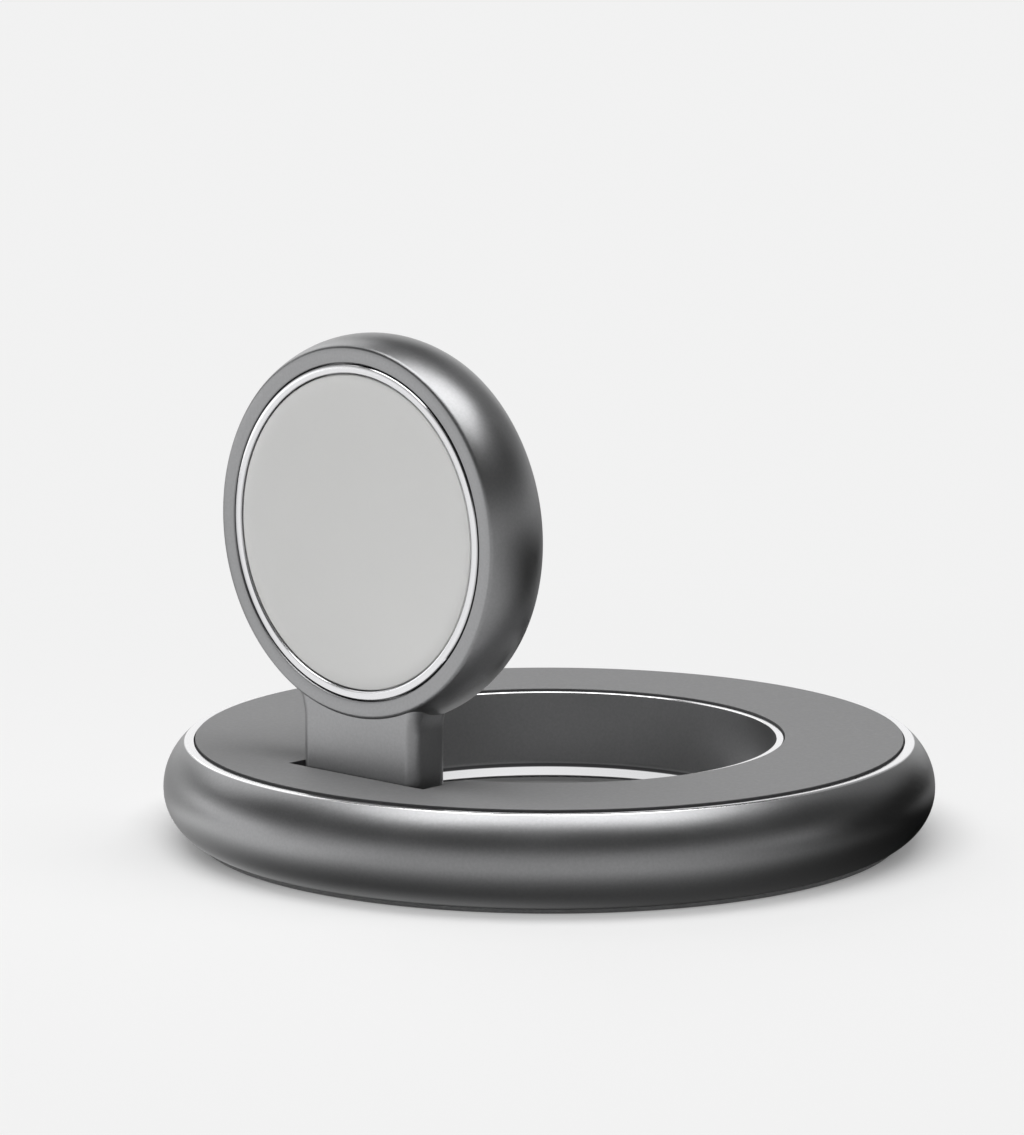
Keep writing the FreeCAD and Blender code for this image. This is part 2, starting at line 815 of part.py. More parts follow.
def side_edges(feature, top):
    """Names of the edges down both sides of a plate that lies across Y, below a height."""
    names = []
    for number, edge in enumerate(feature.Shape.Edges, start=1):
        first, last = edge.Vertexes[0].Point, edge.Vertexes[-1].Point
        along_side = math.isclose(first.y, last.y) and first.x * last.x > 0
        if along_side and max(first.z, last.z) < top + Part.Precision.confusion():
            names.append(f"Edge{number}")
    return names


def build_head_shell():
    """Cast head: neck with rounded sides, round shell with a bulging edge, knuckle and lead way."""
    body = new_body("head_shell", 0, -face_setback, s.head_height)
    axis_y = face_setback - hinge_setback
    hinge_drop = hinge_height - s.head_height
    join = head_edge_radius - s.neck_sink
    flare = s.neck_flare_radius
    flare_z = -leg(join + flare, s.neck_half_width + flare)
    share = join / (join + flare)
    join_x, join_z = (s.neck_half_width + flare) * share, flare_z * share
    inside = (cavity_radius + head_edge_radius) / 2
    top_x, top_z = join_x * (inside / join), join_z * (inside / join)
    points = [
        (-s.neck_half_width, hinge_drop),
        (s.neck_half_width, hinge_drop),
        (s.neck_half_width, flare_z),
        (join_x, join_z),
        (top_x, top_z),
        (-top_x, top_z),
        (-join_x, join_z),
        (-s.neck_half_width, flare_z),
    ]
    half_neck = s.knuckle_radius - s.neck_step
    neck = sketch_on(body, "XZ_Plane", half_neck - axis_y)
    chain(neck, points, {2: (flare, -1), 4: (inside, -1), 6: (flare, -1)})
    plate = pad(body, neck, 2 * half_neck, backwards=True)
    doc.recompute()
    rounding = body.newObject("PartDesign::Fillet", "head_shell_fillet")
    rounding.Base = (plate, side_edges(plate, join_z.value))
    bind(rounding, "Radius", s.neck_edge_radius)
    knuckle = sketch_on(body, "YZ_Plane")
    circle(knuckle, axis_y, hinge_drop, s.knuckle_radius)
    pad(body, knuckle, s.knuckle_width, both_ways=True)

    side_bulge = s.head_radius - head_edge_radius
    half_depth = s.head_depth / 2
    side_radius = (side_bulge * side_bulge + half_depth * half_depth) / (2 * side_bulge)
    trim_hole = trim_radius + s.fit_gap
    cover_hole = rear_cover_radius + s.fit_gap
    points = [
        (trim_hole, 0),
        (head_edge_radius, 0),
        (s.head_radius, half_depth),
        (head_edge_radius, s.head_depth),
        (cover_hole, s.head_depth),
        (cover_hole, rear_cover_front),
        (coil_board_radius + s.fit_gap, rear_cover_front),
        (coil_board_radius + s.fit_gap, coil_board_front),
        (cavity_radius, coil_board_front),
        (cavity_radius, lip_back),
        (trim_hole - s.lip_width, lip_back),
        (trim_hole - s.lip_width, cup_seat),
        (trim_hole, cup_seat),
    ]
    shell = sketch_on(body, "XY_Plane")
    chain(shell, points, {1: (side_radius, 1), 2: (side_radius, 1)})
    revolve(body, shell)

    bore = sketch_on(body, "YZ_Plane")
    circle(bore, axis_y, hinge_drop, s.shaft_radius + s.press_gap)
    pocket(body, bore, 2 * s.knuckle_width, both_ways=True)
    way = sketch_on(body, "XY_Plane", hinge_drop)
    circle(way, 0, axis_y, s.shaft_radius)
    pocket(body, way, s.head_height - hinge_height - cavity_radius + s.lip_thickness, backwards=True)


def build_head_fittings():
    """What the head shell holds, from the charging face to the rear cover."""
    turned_head("cup_trim", washer_section(trim_inner_radius, trim_radius, 0, s.trim_depth))

    cup_plug = trim_radius - s.lip_width
    dish_floor = s.cup_inset + s.dish_depth
    sphere = (dish_radius * dish_radius + s.dish_depth * s.dish_depth) / (2 * s.dish_depth)
    points = [
        (0, dish_floor),
        (dish_radius, s.cup_inset),
        (cup_radius, s.cup_inset),
        (cup_radius, cup_seat),
        (cup_plug, cup_seat),
        (cup_plug, cup_back),
        (0, cup_back),
    ]
    turned_head("charging_cup", points, {0: (sphere, -1)})

    eye = s.coil_eye_radius
    ferrite_back = ferrite_front + s.ferrite_thickness
    magnet_back = magnet_front + s.magnet_thickness
    turned_head("charge_coil", washer_section(eye, s.coil_radius, cup_back, ferrite_front))
    turned_head("ferrite_disc", washer_section(eye, ferrite_radius, ferrite_front, ferrite_back))
    turned_head("alignment_magnet", washer_section(0, magnet_radius, magnet_front, magnet_back))
    turned_head("coil_board", washer_section(0, coil_board_radius, coil_board_front, coil_board_back))
    turned_head("rear_cover", washer_section(0, rear_cover_radius, rear_cover_front, s.head_depth))


def build_shafts():
    """Hinge shafts pressed into the knuckle, with the disc springs and nut on the solid one."""
    right = s.knuckle_width / 2 - s.shaft_grip
    reach = block_half_width + s.hollow_shaft_reach - right
    place = (right, hinge_y, hinge_height, ACROSS)
    outside = cylinder("hollow_shaft_outside", s.shaft_radius, reach, *place)
    bore = cylinder("hollow_shaft_bore", s.shaft_bore, reach, *place)
    node(cut("hollow_shaft_tube", outside, bore), "hollow_shaft")

    washer_start = block_half_width + s.running_gap
    springs = 3
    nut_start = washer_start + springs * s.washer_pitch
    end = nut_start + s.nut_thickness
    end_place = (-end, hinge_y, hinge_height, ACROSS)
    node(cylinder("friction_shaft_rod", s.shaft_radius, end - right, *end_place), "friction_shaft")
    washers = []
    for number in range(springs):
        x = -(washer_start + number * s.washer_pitch + s.washer_thickness)
        place = (x, hinge_y, hinge_height, ACROSS)
        outside = cylinder(f"washer_{number}_outside", s.washer_radius, s.washer_thickness, *place)
        bore = cylinder(f"washer_{number}_bore", s.shaft_radius + s.press_gap, s.washer_thickness, *place)
        washers.append(cut(f"washer_{number}", outside, bore))
    group("spring_washers", washers)
    outside = cylinder("nut_outside", s.washer_radius, s.nut_thickness, *end_place)
    bore = cylinder("nut_bore", s.shaft_radius + s.press_gap, s.nut_thickness, *end_place)
    node(cut("nut_ring", outside, bore), "shaft_nut")


def build_head_lead():
    """Lead that comes out of the hollow shaft and climbs the neck to the drive board."""
    outer_end = block_half_width + s.hollow_shaft_reach
    bend = s.neck_lead_bend
    rise = s.head_height - hinge_height - ferrite_radius - s.lip_thickness - bend
    place = (bend, hinge_y, hinge_height, ACROSS)
    run = cylinder("head_lead_run", s.lead_radius, outer_end - bend, *place)
    upright = FreeCAD.Rotation(ACROSS, 90) * FreeCAD.Rotation(UP, 180)
    bend_top = hinge_height + bend
    corner = bend_piece("head_lead_bend", bend, as_size(90), upright, (bend, hinge_y, bend_top))
    climb = cylinder("head_lead_climb", s.lead_radius, rise, 0, hinge_y, bend_top)
    node(fuse("head_lead_whole", fuse("head_lead_hook", run, corner), climb), "head_lead")


def check(objects):
    """Stop if any object failed or any sub-part has no sound solid."""
    for obj in doc.Objects:
        if any(word in obj.State for word in ("Invalid", "Error")):
            raise RuntimeError(f"{obj.Label} failed: {obj.State}")
    for obj in objects:
        if obj.Shape.isNull() or not obj.Shape.isValid() or not obj.Shape.Solids:
            raise RuntimeError(f"{obj.Label} has no sound solid")


def main():
    """Build every sub-part and write its file."""
    build_base_ring()
    build_top_pad()
    build_base_cover()
    build_foot_ring()
    build_base_screws()
    build_hinge_block()
    build_hinge_bushes()
    build_ballast()
    build_main_board()
    build_board_parts()
    build_port()
    build_base_lead()
    build_head_shell()
    build_head_fittings()
    build_shafts()
    build_head_lead()
    doc.recompute()
    check(nodes)
    os.makedirs("parts", exist_ok=True)
    for obj in nodes:
        obj.Shape.exportStep(os.path.join("parts", f"{obj.Label}.step"))


main()
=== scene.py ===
"""Looks of a flip-up charging stand: turned metal ring, soft inlay pad and hinged charging head.

Metres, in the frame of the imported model: +Z is up, the charging face looks along -Y and the hinge
lies along X. Every piece sits at the origin with its place in its mesh.
"""
import json
import logging
import math
from dataclasses import dataclass
from enum import Enum
from typing import Callable, Mapping, Optional, Union

import bmesh
import bpy
from mathutils import Matrix, Vector


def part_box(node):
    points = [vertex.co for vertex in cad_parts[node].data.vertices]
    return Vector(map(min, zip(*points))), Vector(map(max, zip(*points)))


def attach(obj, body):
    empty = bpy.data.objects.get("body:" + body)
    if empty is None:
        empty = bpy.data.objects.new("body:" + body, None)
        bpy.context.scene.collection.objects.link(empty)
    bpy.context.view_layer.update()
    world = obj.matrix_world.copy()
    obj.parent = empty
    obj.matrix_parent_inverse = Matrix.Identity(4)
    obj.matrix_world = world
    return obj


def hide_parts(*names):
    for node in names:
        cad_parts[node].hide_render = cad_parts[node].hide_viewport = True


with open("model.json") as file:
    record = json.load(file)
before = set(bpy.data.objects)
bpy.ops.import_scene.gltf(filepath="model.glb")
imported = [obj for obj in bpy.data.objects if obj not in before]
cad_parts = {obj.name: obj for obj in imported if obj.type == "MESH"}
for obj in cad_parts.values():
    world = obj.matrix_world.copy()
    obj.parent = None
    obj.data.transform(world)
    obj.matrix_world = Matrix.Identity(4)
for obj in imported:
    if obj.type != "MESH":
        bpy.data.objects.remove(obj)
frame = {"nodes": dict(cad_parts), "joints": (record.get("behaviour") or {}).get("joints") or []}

LOG = logging.getLogger("charging_stand")
MM = 0.001
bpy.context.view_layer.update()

ORIGIN = Vector((0, 0, 0))
ACROSS = Vector((1, 0, 0))
BACK = Vector((0, 1, 0))
UP = Vector((0, 0, 1))

# Facets: round a turned piece, and across a rounded edge.
AROUND = 288
EDGE_STEPS = 3
# Edges that bend more than SHARP are rounded or shaded sharp, those under FLAT are dissolved.
SHARP = math.radians(28)
FLAT = math.radians(0.2)
# Distances: doubles of a new mesh, doubles of a cut mesh, edges near a level, a bore round its pin.
MERGE_GAP = 1e-7
CUT_GAP = 1e-6
EDGE_REACH = 0.1 * MM
BORE_GAP = 0.02 * MM
# Share that each finer layer of a noise adds.
NOISE_FALLOFF = 0.55

Colour = tuple[float, float, float]
Place = tuple[float, float, float]
Point = tuple[float, float]
Number = Union[float, "Value"]
Mesh = bmesh.types.BMesh
Edge = bmesh.types.BMEdge
EdgePick = Callable[[Edge], bool]

WHITE: Colour = (1.0, 1.0, 1.0)


class Body(Enum):
    """The bodies that pieces ride on."""

    BASE = "base"
    HEAD = "head"


class Shape(Enum):
    """How one mesh acts on another."""

    JOIN = "UNION"
    CARVE = "DIFFERENCE"
    KEEP_COMMON = "INTERSECT"


class Plane(Enum):
    """Plane of a section, as the directions of its two coordinates."""

    ACROSS_AND_UP = (ACROSS, UP)
    ACROSS_AND_BACK = (ACROSS, BACK)
    BACK_AND_UP = (BACK, UP)

    @property
    def normal(self) -> Vector:
        """Direction that an anticlockwise turn in the plane goes round."""
        return self.value[0].cross(self.value[1])


class Value:
    """A shader socket that takes part in Python arithmetic."""

    def __init__(self, graph: "Graph", socket: bpy.types.NodeSocket) -> None:
        """Keep the socket and the graph that it belongs to."""
        self.graph = graph
        self.socket = socket

    def __add__(self, other: Number) -> "Value":
        """Sum."""
        return self.graph.math("ADD", self, other)

    def __radd__(self, other: Number) -> "Value":
        """Sum, the other way round."""
        return self.graph.math("ADD", other, self)

    def __sub__(self, other: Number) -> "Value":
        """Difference."""
        return self.graph.math("SUBTRACT", self, other)

    def __rsub__(self, other: Number) -> "Value":
        """Difference, the other way round."""
        return self.graph.math("SUBTRACT", other, self)

    def __mul__(self, other: Number) -> "Value":
        """Product."""
        return self.graph.math("MULTIPLY", self, other)

    def __rmul__(self, other: Number) -> "Value":
        """Product, the other way round."""
        return self.graph.math("MULTIPLY", other, self)

    def __truediv__(self, other: Number) -> "Value":
        """Quotient."""
        return self.graph.math("DIVIDE", self, other)


class Graph:
    """A node tree, with one method that adds any node and short ones for those used most."""

    def __init__(self, tree: bpy.types.NodeTree) -> None:
        """Start from an empty tree."""
        self.tree = tree
        tree.nodes.clear()

    @classmethod
    def of_material(cls, name: str) -> tuple[bpy.types.Material, "Graph"]:
        """Start a new material.

        Args:
            name: The material's name.

        Returns:
            The material and its graph.
        """
        material = bpy.data.materials.new(name)
        material.use_nodes = True
        return material, cls(material.node_tree)

    def node(
        self,
        kind: str,
        settings: Optional[Mapping[str, object]] = None,
        inputs: Optional[Mapping[Union[int, str], object]] = None,
        output: Union[int, str] = 0,
    ) -> Optional[Value]:
        """Add a node.

        Args:
            kind: The node's type.
            settings: Its properties, which are set first.
            inputs: Values or links of its sockets, by name or number.
            output: The output that is returned.

        Returns:
            That output, or None where the node has no outputs.
        """
        made = self.tree.nodes.new(kind)
        for name, setting in (settings or {}).items():
            setattr(made, name, setting)
        for key, given in (inputs or {}).items():
            if isinstance(given, Value):
                self.tree.links.new(given.socket, made.inputs[key])
            else:
                made.inputs[key].default_value = given
        return Value(self, made.outputs[output]) if made.outputs else None

    def end(self, shader: Value, kind: str = "Material") -> None:
        """End the tree with a shader."""
        self.node(f"ShaderNodeOutput{kind}", inputs={"Surface": shader})

    def math(self, operation: str, *values: Number) -> Value:
        """Result of a Math node."""
        return self.node("ShaderNodeMath", {"operation": operation}, dict(enumerate(values)))

    def vectors(self, operation: str, *values: object, output: Union[int, str] = 0) -> Value:
        """Result of a Vector Math node."""
        settings = {"operation": operation}
        return self.node("ShaderNodeVectorMath", settings, dict(enumerate(values)), output)

    def coords(self) -> Value:
        """Object coordinates, in metres."""
        return self.node("ShaderNodeTexCoord", output="Object")

    def axes(self, vector: Value) -> tuple[Value, Value, Value]:
        """The three parts of a vector."""
        split = self.node("ShaderNodeSeparateXYZ", inputs={0: vector}).socket.node
        return tuple(Value(self, socket) for socket in split.outputs)

    def distance(self, vector: Value, centre: Vector, mask: Vector) -> Value:
        """Distance from an axis.

        Args:
            vector: Object coordinates.
            centre: A point on the axis.
            mask: 1 in the directions that count and 0 along the axis.

        Returns:
            The distance in metres.
        """
        away = self.vectors("SUBTRACT", vector, centre)
        flat = self.vectors("MULTIPLY", away, mask)
        return self.vectors("LENGTH", flat, output="Value")

    def facing(self, vector: Value, azimuth: float) -> Value:
        """Part of a vector along a level direction.

        Args:
            vector: The vector.
            azimuth: Azimuth of the direction, in degrees.

        Returns:
            That part.
        """
        around = math.radians(azimuth)
        direction = Vector((math.sin(around), -math.cos(around), 0))
        return self.vectors("DOT_PRODUCT", vector, direction, output="Value")

    def noise(self, vector: Value, size: float, detail: float = 2.0) -> Value:
        """Soft noise from 0 to 1 with features of a given size in metres."""
        inputs = {"Vector": vector, "Scale": 1.0 / size, "Detail": detail, "Roughness": NOISE_FALLOFF}
        return self.node("ShaderNodeTexNoise", inputs=inputs)

    def cells(self, vector: Value, size: float, **settings: str) -> Value:
        """Distance from the nearest of many scattered points, a given size in metres apart."""
        inputs = {"Vector": vector, "Scale": 1.0 / size}
        return self.node("ShaderNodeTexVoronoi", settings, inputs)

    def wave(self, length: Value, pitch: float) -> Value:
        """Sine wave from 0 to 1 along a length, with a pitch in metres."""
        return self.math("SINE", length * (math.tau / pitch)) * 0.5 + 0.5

    def step(self, value: Value, low: float, high: float) -> Value:
        """Smooth step: 0 below low and 1 above high."""
        settings = {"interpolation_type": "SMOOTHSTEP"}
        return self.node("ShaderNodeMapRange", settings, {0: value, 1: low, 2: high})

    def level(self, value: Value, middle: float, soft: float) -> Value:
        """Smooth step about a level, soft on either side of it."""
        return self.step(value, middle - soft, middle + soft)

    def blend(self, mask: Number, low: object, high: object) -> Value:
        """Colour between two colours."""
        settings = {"data_type": "RGBA", "clamp_factor": True}
        return self.node("ShaderNodeMix", settings, {0: mask, 6: low, 7: high}, 2)

    def bump(self, height: Value, depth: float, normal: Optional[Value] = None) -> Value:
        """Bumped normal from a height of 0 to 1.

        Args:
            height: The height.
            depth: Real depth of a full step, in metres.
            normal: A normal that is already bumped.

        Returns:
            The new normal.
        """
        inputs = {"Height": height, "Distance": depth, "Strength": 1.0}
        if normal is not None:
            inputs["Normal"] = normal
        return self.node("ShaderNodeBump", inputs=inputs)


def shade(colour: Colour, factor: float = 1.0) -> tuple[float, float, float, float]:
    """A colour made lighter or darker, with full alpha."""
    return tuple(min(channel * factor, 1.0) for channel in colour) + (1.0,)


@dataclass
class Surface:
    """A surface in the making: its graph, Object coordinates, grit and shader inputs."""

    graph: Graph
    coords: Value
    grit: Value
    look: dict[str, object]

    def paint(self, mask: Value, colour: Colour) -> None:
        """Cover the masked part with a colour."""
        self.look["Base Color"] = self.graph.blend(mask, self.look["Base Color"], shade(colour))

    def dim(self, mask: Value, share: float) -> None:
        """Darken what the mask leaves out.

        Args:
            mask: 1 where the surface keeps its colour.
            share: Share of the colour that is left where the mask is 0.
        """
        tone = self.graph.blend(mask, shade(WHITE, share), shade(WHITE))
        settings = {"data_type": "RGBA", "blend_type": "MULTIPLY"}
        inputs = {0: 1.0, 6: self.look["Base Color"], 7: tone}
        self.look["Base Color"] = self.graph.node("ShaderNodeMix", settings, inputs, 2)

    def polish(self, mask: Value, roughness: Number) -> None:
        """Give the masked part a roughness of its own."""
        self.look["Roughness"] = self.look["Roughness"] * (1 - mask) + roughness * mask

    def ruffle(self, mask: Value, middle: float, swing: float) -> None:
        """Swing the roughness with a mask, about the mask's middle."""
        self.look["Roughness"] = self.look["Roughness"] + (mask - middle) * swing

    def emboss(self, height: Value, depth: float) -> None:
        """Raise the surface by a height of 0 to 1, times a depth in metres."""
        self.look["Normal"] = self.graph.bump(height, depth, self.look["Normal"])


@dataclass(frozen=True)
class Finish:
    """A surface finish: cloudy tint, fine grit in the gloss and in the surface.

    The grit's size and depth and the cloud's size are in metres.
    """

    name: str
    slot: str
    colour: Colour
    roughness: float
    metallic: float = 0.0
    cloud: float = 9.0 * MM
    tint: float = 0.05
    speckle: float = 0.3
    speckle_size: float = 0.25 * MM
    grit: float = 0.15 * MM
    grit_depth: float = 0.004 * MM
    gloss_swing: float = 0.10
    specular: float = 0.5

    def make(self) -> bpy.types.Material:
        """Build the material.

        Returns:
            The material, ready to assign.
        """
        material, graph = Graph.of_material(self.name)
        coords = graph.coords()
        cloud = graph.noise(coords, self.cloud)
        grit = graph.noise(coords, self.grit, detail=3.0)
        specks = graph.noise(coords, self.speckle_size)
        mottle = cloud * (1 - self.speckle) + specks * self.speckle
        dark, light = shade(self.colour, 1 - self.tint), shade(self.colour, 1 + self.tint)
        surface = Surface(graph, coords, grit, {
            "Base Color": graph.blend(mottle, dark, light),
            "Roughness": self.roughness + (grit - 0.5) * self.gloss_swing,
            "Metallic": self.metallic,
            "Specular IOR Level": self.specular,
            "Normal": graph.bump(grit, self.grit_depth),
        })
        surface.ruffle(cloud, 0.5, self.gloss_swing)
        self.detail(surface)
        graph.end(graph.node("ShaderNodeBsdfPrincipled", inputs=surface.look))
        return material

    def detail(self, surface: Surface) -> None:
        """Add what sets this finish apart; the plain one adds nothing."""


@dataclass(frozen=True)
class RimmedMetal(Finish):
    """Bead-blasted anodised metal with bright cut rims along its top and its hole's lower edge, and a
    painted shade above the lower rim.
    """

    rim_colour: Colour = (0.84, 0.84, 0.85)
    rim_roughness: float = 0.16
    rim_swing: float = 0.05
    rim_level: float = 9.0 * MM
    rim_blend: float = 0.05 * MM
    turning_size: float = 0.3 * MM
    edge_level: float = 1.6 * MM
    edge_radius: float = 23.3 * MM
    edge_shade_height: float = 0.40 * MM
    edge_shade_colour: Colour = (0.05, 0.05, 0.052)

    def detail(self, surface: Surface) -> None:
        """Cut the rims, which have no grit, and paint a dark band of shade on the wall above the lower
        one.

        Args:
            surface: The surface, changed in place.
        """
        graph, soft = surface.graph, self.rim_blend
        _, _, height = graph.axes(surface.coords)
        radius = graph.distance(surface.coords, ORIGIN, ACROSS + BACK)
        inside = 1 - graph.step(radius, self.edge_radius - soft, self.edge_radius)
        low = 1 - graph.level(height, self.edge_level, soft)
        rim = graph.math("MAXIMUM", graph.level(height, self.rim_level, soft), inside * low)
        # painted shade: a dark band on the hole's wall just above its lower rim
        line = 1 - graph.level(height, self.edge_level + self.edge_shade_height, 2 * soft)
        turning = graph.noise(surface.coords, self.turning_size)
        surface.paint(line * inside, self.edge_shade_colour)
        surface.paint(rim, self.rim_colour)
        surface.polish(rim, self.rim_roughness + (turning - 0.5) * self.rim_swing)
        surface.look["Normal"] = graph.bump(surface.grit * (1 - rim), self.grit_depth)


@dataclass(frozen=True)
class TurnedMetal(Finish):
    """Metal with fine lathe lines round the charging axis."""

    centre: Place = (0.0, 0.0, 31.3 * MM)
    pitch: float = 0.42 * MM
    wander: float = 0.4
    wander_size: float = 6.0 * MM
    line_depth: float = 0.0045 * MM
    line_swing: float = 0.14
    line_tint: float = 0.05

    def radius(self, surface: Surface) -> Value:
        """Distance from the charging axis."""
        return surface.graph.distance(surface.coords, Vector(self.centre), ACROSS + UP)

    def detail(self, surface: Surface) -> None:
        """Add the lathe lines, which wander by a share of their pitch.

        Args:
            surface: The surface, changed in place.
        """
        graph = surface.graph
        wander = graph.noise(surface.coords, self.wander_size) * (self.pitch * self.wander)
        wave = graph.wave(self.radius(surface) + wander, self.pitch)
        surface.dim(wave, 1 - 2 * self.line_tint)
        surface.ruffle(wave, 0.5, self.line_swing)
        surface.emboss(wave, self.line_depth)


@dataclass(frozen=True)
class SoftTouch(Finish):
    """Matt elastomer: fine pebbled skin, with a painted shade that darkens it below a level, on its cut
    edge.
    """

    pebble: float = 0.30 * MM
    pebble_depth: float = 0.006 * MM
    pebble_middle: float = 0.4
    pebble_swing: float = 0.06
    pebble_shade: float = 0.82
    side_shade_colour: Colour = (0.055, 0.055, 0.057)
    side_shade_top: float = 0.0
    side_shade_blend: float = 0.02 * MM

    def detail(self, surface: Surface) -> None:
        """Add the pebble grain and the painted shade below the level.

        Args:
            surface: The surface, changed in place.
        """
        graph = surface.graph
        cells = graph.cells(surface.coords, self.pebble, feature="SMOOTH_F1")
        surface.emboss(1 - cells, self.pebble_depth)
        surface.ruffle(cells, self.pebble_middle, self.pebble_swing)
        surface.dim(cells, self.pebble_shade)
        _, _, height = graph.axes(surface.coords)
        # painted shade: below the level the surface takes a dark colour, on the pad's side wall and the
        # foot's underside
        surface.paint(1 - graph.level(height, self.side_shade_top, self.side_shade_blend), self.side_shade_colour)


@dataclass(frozen=True)
class WoundWire(TurnedMetal):
    """Enamelled wire, wound flat round the charging axis."""

    gap_shade_colour: Colour = (0.10, 0.035, 0.012)
    gap_shade_edges: Point = (0.05, 0.35)

    def detail(self, surface: Surface) -> None:
        """Paint shade into the gaps between the turns, and round the wire.

        Args:
            surface: The surface, changed in place.
        """
        wave = surface.graph.wave(self.radius(surface), self.pitch)
        # painted shade: the gaps between the turns take a darker copper colour
        surface.paint(1 - surface.graph.step(wave, *self.gap_shade_edges), self.gap_shade_colour)
        surface.emboss(wave, self.line_depth)


@dataclass(frozen=True)
class Laminate(Finish):
    """Circuit board: lacquer over raised copper tracks."""

    track_colour: Colour = (0.045, 0.16, 0.075)
    track_size: float = 1.1 * MM
    track_edges: Point = (0.28, 0.32)
    track_height: float = 0.02 * MM

    def detail(self, surface: Surface) -> None:
        """Add the tracks that show through the lacquer.

        Args:
            surface: The surface, changed in place.
        """
        graph = surface.graph
        cells = graph.cells(surface.coords, self.track_size, distance="CHEBYCHEV", feature="F1")
        track = graph.step(cells, *self.track_edges)
        surface.paint(track, self.track_colour)
        surface.emboss(track, self.track_height)


@dataclass(frozen=True)
class ContactBlade(Finish):
    """Dark moulded blade with a row of gilded contacts."""

    contact_colour: Colour = (0.83, 0.60, 0.26)
    contact_roughness: float = 0.22
    contact_pitch: float = 0.5 * MM
    contact_share: float = 0.28
    row_half_width: float = 2.95 * MM
    row_start: float = 29.4 * MM
    row_end: float = 32.6 * MM
    row_blend: float = 0.05 * MM

    def detail(self, surface: Surface) -> None:
        """Gild the contacts.

        Args:
            surface: The surface, changed in place.
        """
        graph, soft = surface.graph, self.row_blend
        across, back, _ = graph.axes(surface.coords)
        wave = graph.wave(across - self.contact_pitch / 4, self.contact_pitch)
        stripe = graph.level(wave, 0.5, self.contact_share / 2)
        beside = graph.math("ABSOLUTE", across)
        row = 1 - graph.step(beside, self.row_half_width - soft, self.row_half_width)
        start = graph.step(back, self.row_start, self.row_start + soft)
        end = 1 - graph.step(back, self.row_end - soft, self.row_end)
        gilt = stripe * row * start * end
        surface.paint(gilt, self.contact_colour)
        surface.polish(gilt, self.contact_roughness)
        surface.look["Metallic"] = gilt


METAL_COLOUR: Colour = (0.259, 0.260, 0.264)
ANODISED = {"metallic": 1.0, "tint": 0.13, "speckle": 0.8, "grit": 0.10 * MM, "grit_depth": 0.0058 * MM}

RING_METAL = RimmedMetal("ring_anodised", "ring_metal", METAL_COLOUR, 0.36, **ANODISED)
BLOCK_METAL = RimmedMetal("block_anodised", "block_metal", METAL_COLOUR, 0.37, **ANODISED)
HEAD_METAL = Finish("head_anodised", "ring_metal", METAL_COLOUR, 0.36, **ANODISED)
REAR_METAL = TurnedMetal(
    "rear_turned", "rear_metal", (0.262, 0.263, 0.267), 0.36, metallic=1.0, tint=0.03,
    grit=0.12 * MM, grit_depth=0.001 * MM, gloss_swing=0.06,
)
TRIM_STEEL = TurnedMetal(
    "trim_polished", "polished_steel", (0.56, 0.56, 0.57), 0.17, metallic=1.0, tint=0.02,
    grit=0.3 * MM, grit_depth=0.0004 * MM, gloss_swing=0.04, line_swing=0.05, line_depth=0.0006 * MM,
    line_tint=0.01,
)
PAD_SOFT = SoftTouch(
    "pad_soft_touch", "soft_pad", (0.237, 0.237, 0.240), 0.66, tint=0.03, grit=0.10 * MM,
    grit_depth=0.003 * MM, gloss_swing=0.08, specular=0.35, side_shade_top=9.24 * MM,
)
FOOT_RUBBER = SoftTouch(
    "foot_rubber_matt", "foot_rubber", (0.34, 0.34, 0.345), 0.72, tint=0.08, grit=0.12 * MM,
    specular=0.35,
)
CUP_PLASTIC = Finish(
    "cup_moulded", "cup_plastic", (0.74, 0.74, 0.73), 0.30, tint=0.012, cloud=14 * MM,
    grit=0.2 * MM, grit_depth=0.0008 * MM, gloss_swing=0.05,
)
COVER_MOULDING = Finish(
    "cover_moulded", "dark_moulding", (0.030, 0.030, 0.032), 0.55, tint=0.08, grit=0.18 * MM,
    grit_depth=0.01 * MM,
)
INLET_STEEL = Finish(
    "inlet_plated", "inlet_steel", (0.62, 0.62, 0.63), 0.26, metallic=1.0, tint=0.03,
    grit=0.2 * MM, grit_depth=0.001 * MM,
)
BLADE = ContactBlade(
    "inlet_blade", "dark_moulding", (0.022, 0.022, 0.024), 0.42, tint=0.06, grit_depth=0.002 * MM,
)
SCREW_STEEL = Finish(
    "screw_machined", "screw_steel", (0.42, 0.42, 0.43), 0.34, metallic=1.0, tint=0.06,
    grit_depth=0.003 * MM,
)
BALLAST_STEEL = Finish(
    "ballast_zinced", "ballast_steel", (0.52, 0.53, 0.55), 0.38, metallic=1.0, tint=0.10,
    cloud=2.5 * MM, grit_depth=0.006 * MM,
)
MAGNET_NICKEL = Finish(
    "magnet_nickel", "magnet_metal", (0.66, 0.64, 0.60), 0.22, metallic=1.0, tint=0.03,
    grit_depth=0.001 * MM,
)
COIL_WIRE = WoundWire(
    "coil_wound", "copper_wire", (0.78, 0.34, 0.14), 0.28, metallic=1.0, tint=0.05,
    pitch=0.45 * MM, line_depth=0.12 * MM,
)
FERRITE = Finish(
    "ferrite_fired", "ferrite", (0.035, 0.034, 0.036), 0.5, tint=0.15, cloud=2 * MM,
    grit_depth=0.008 * MM,
)
BOARD = Laminate(
    "board_lacquered", "board_laminate", (0.018, 0.085, 0.040), 0.34, tint=0.05,
    grit_depth=0.001 * MM,
)
CHIP = Finish(
    "chip_moulded", "chip_moulding", (0.020, 0.020, 0.022), 0.52, tint=0.10, grit_depth=0.005 * MM,
)
BEARING = Finish(
    "bush_acetal", "bearing_plastic", (0.62, 0.60, 0.54), 0.36, tint=0.03, grit_depth=0.002 * MM,
)
JACKET = Finish(
    "lead_jacket", "lead_jacket", (0.035, 0.035, 0.038), 0.46, tint=0.06, grit_depth=0.003 * MM,
)

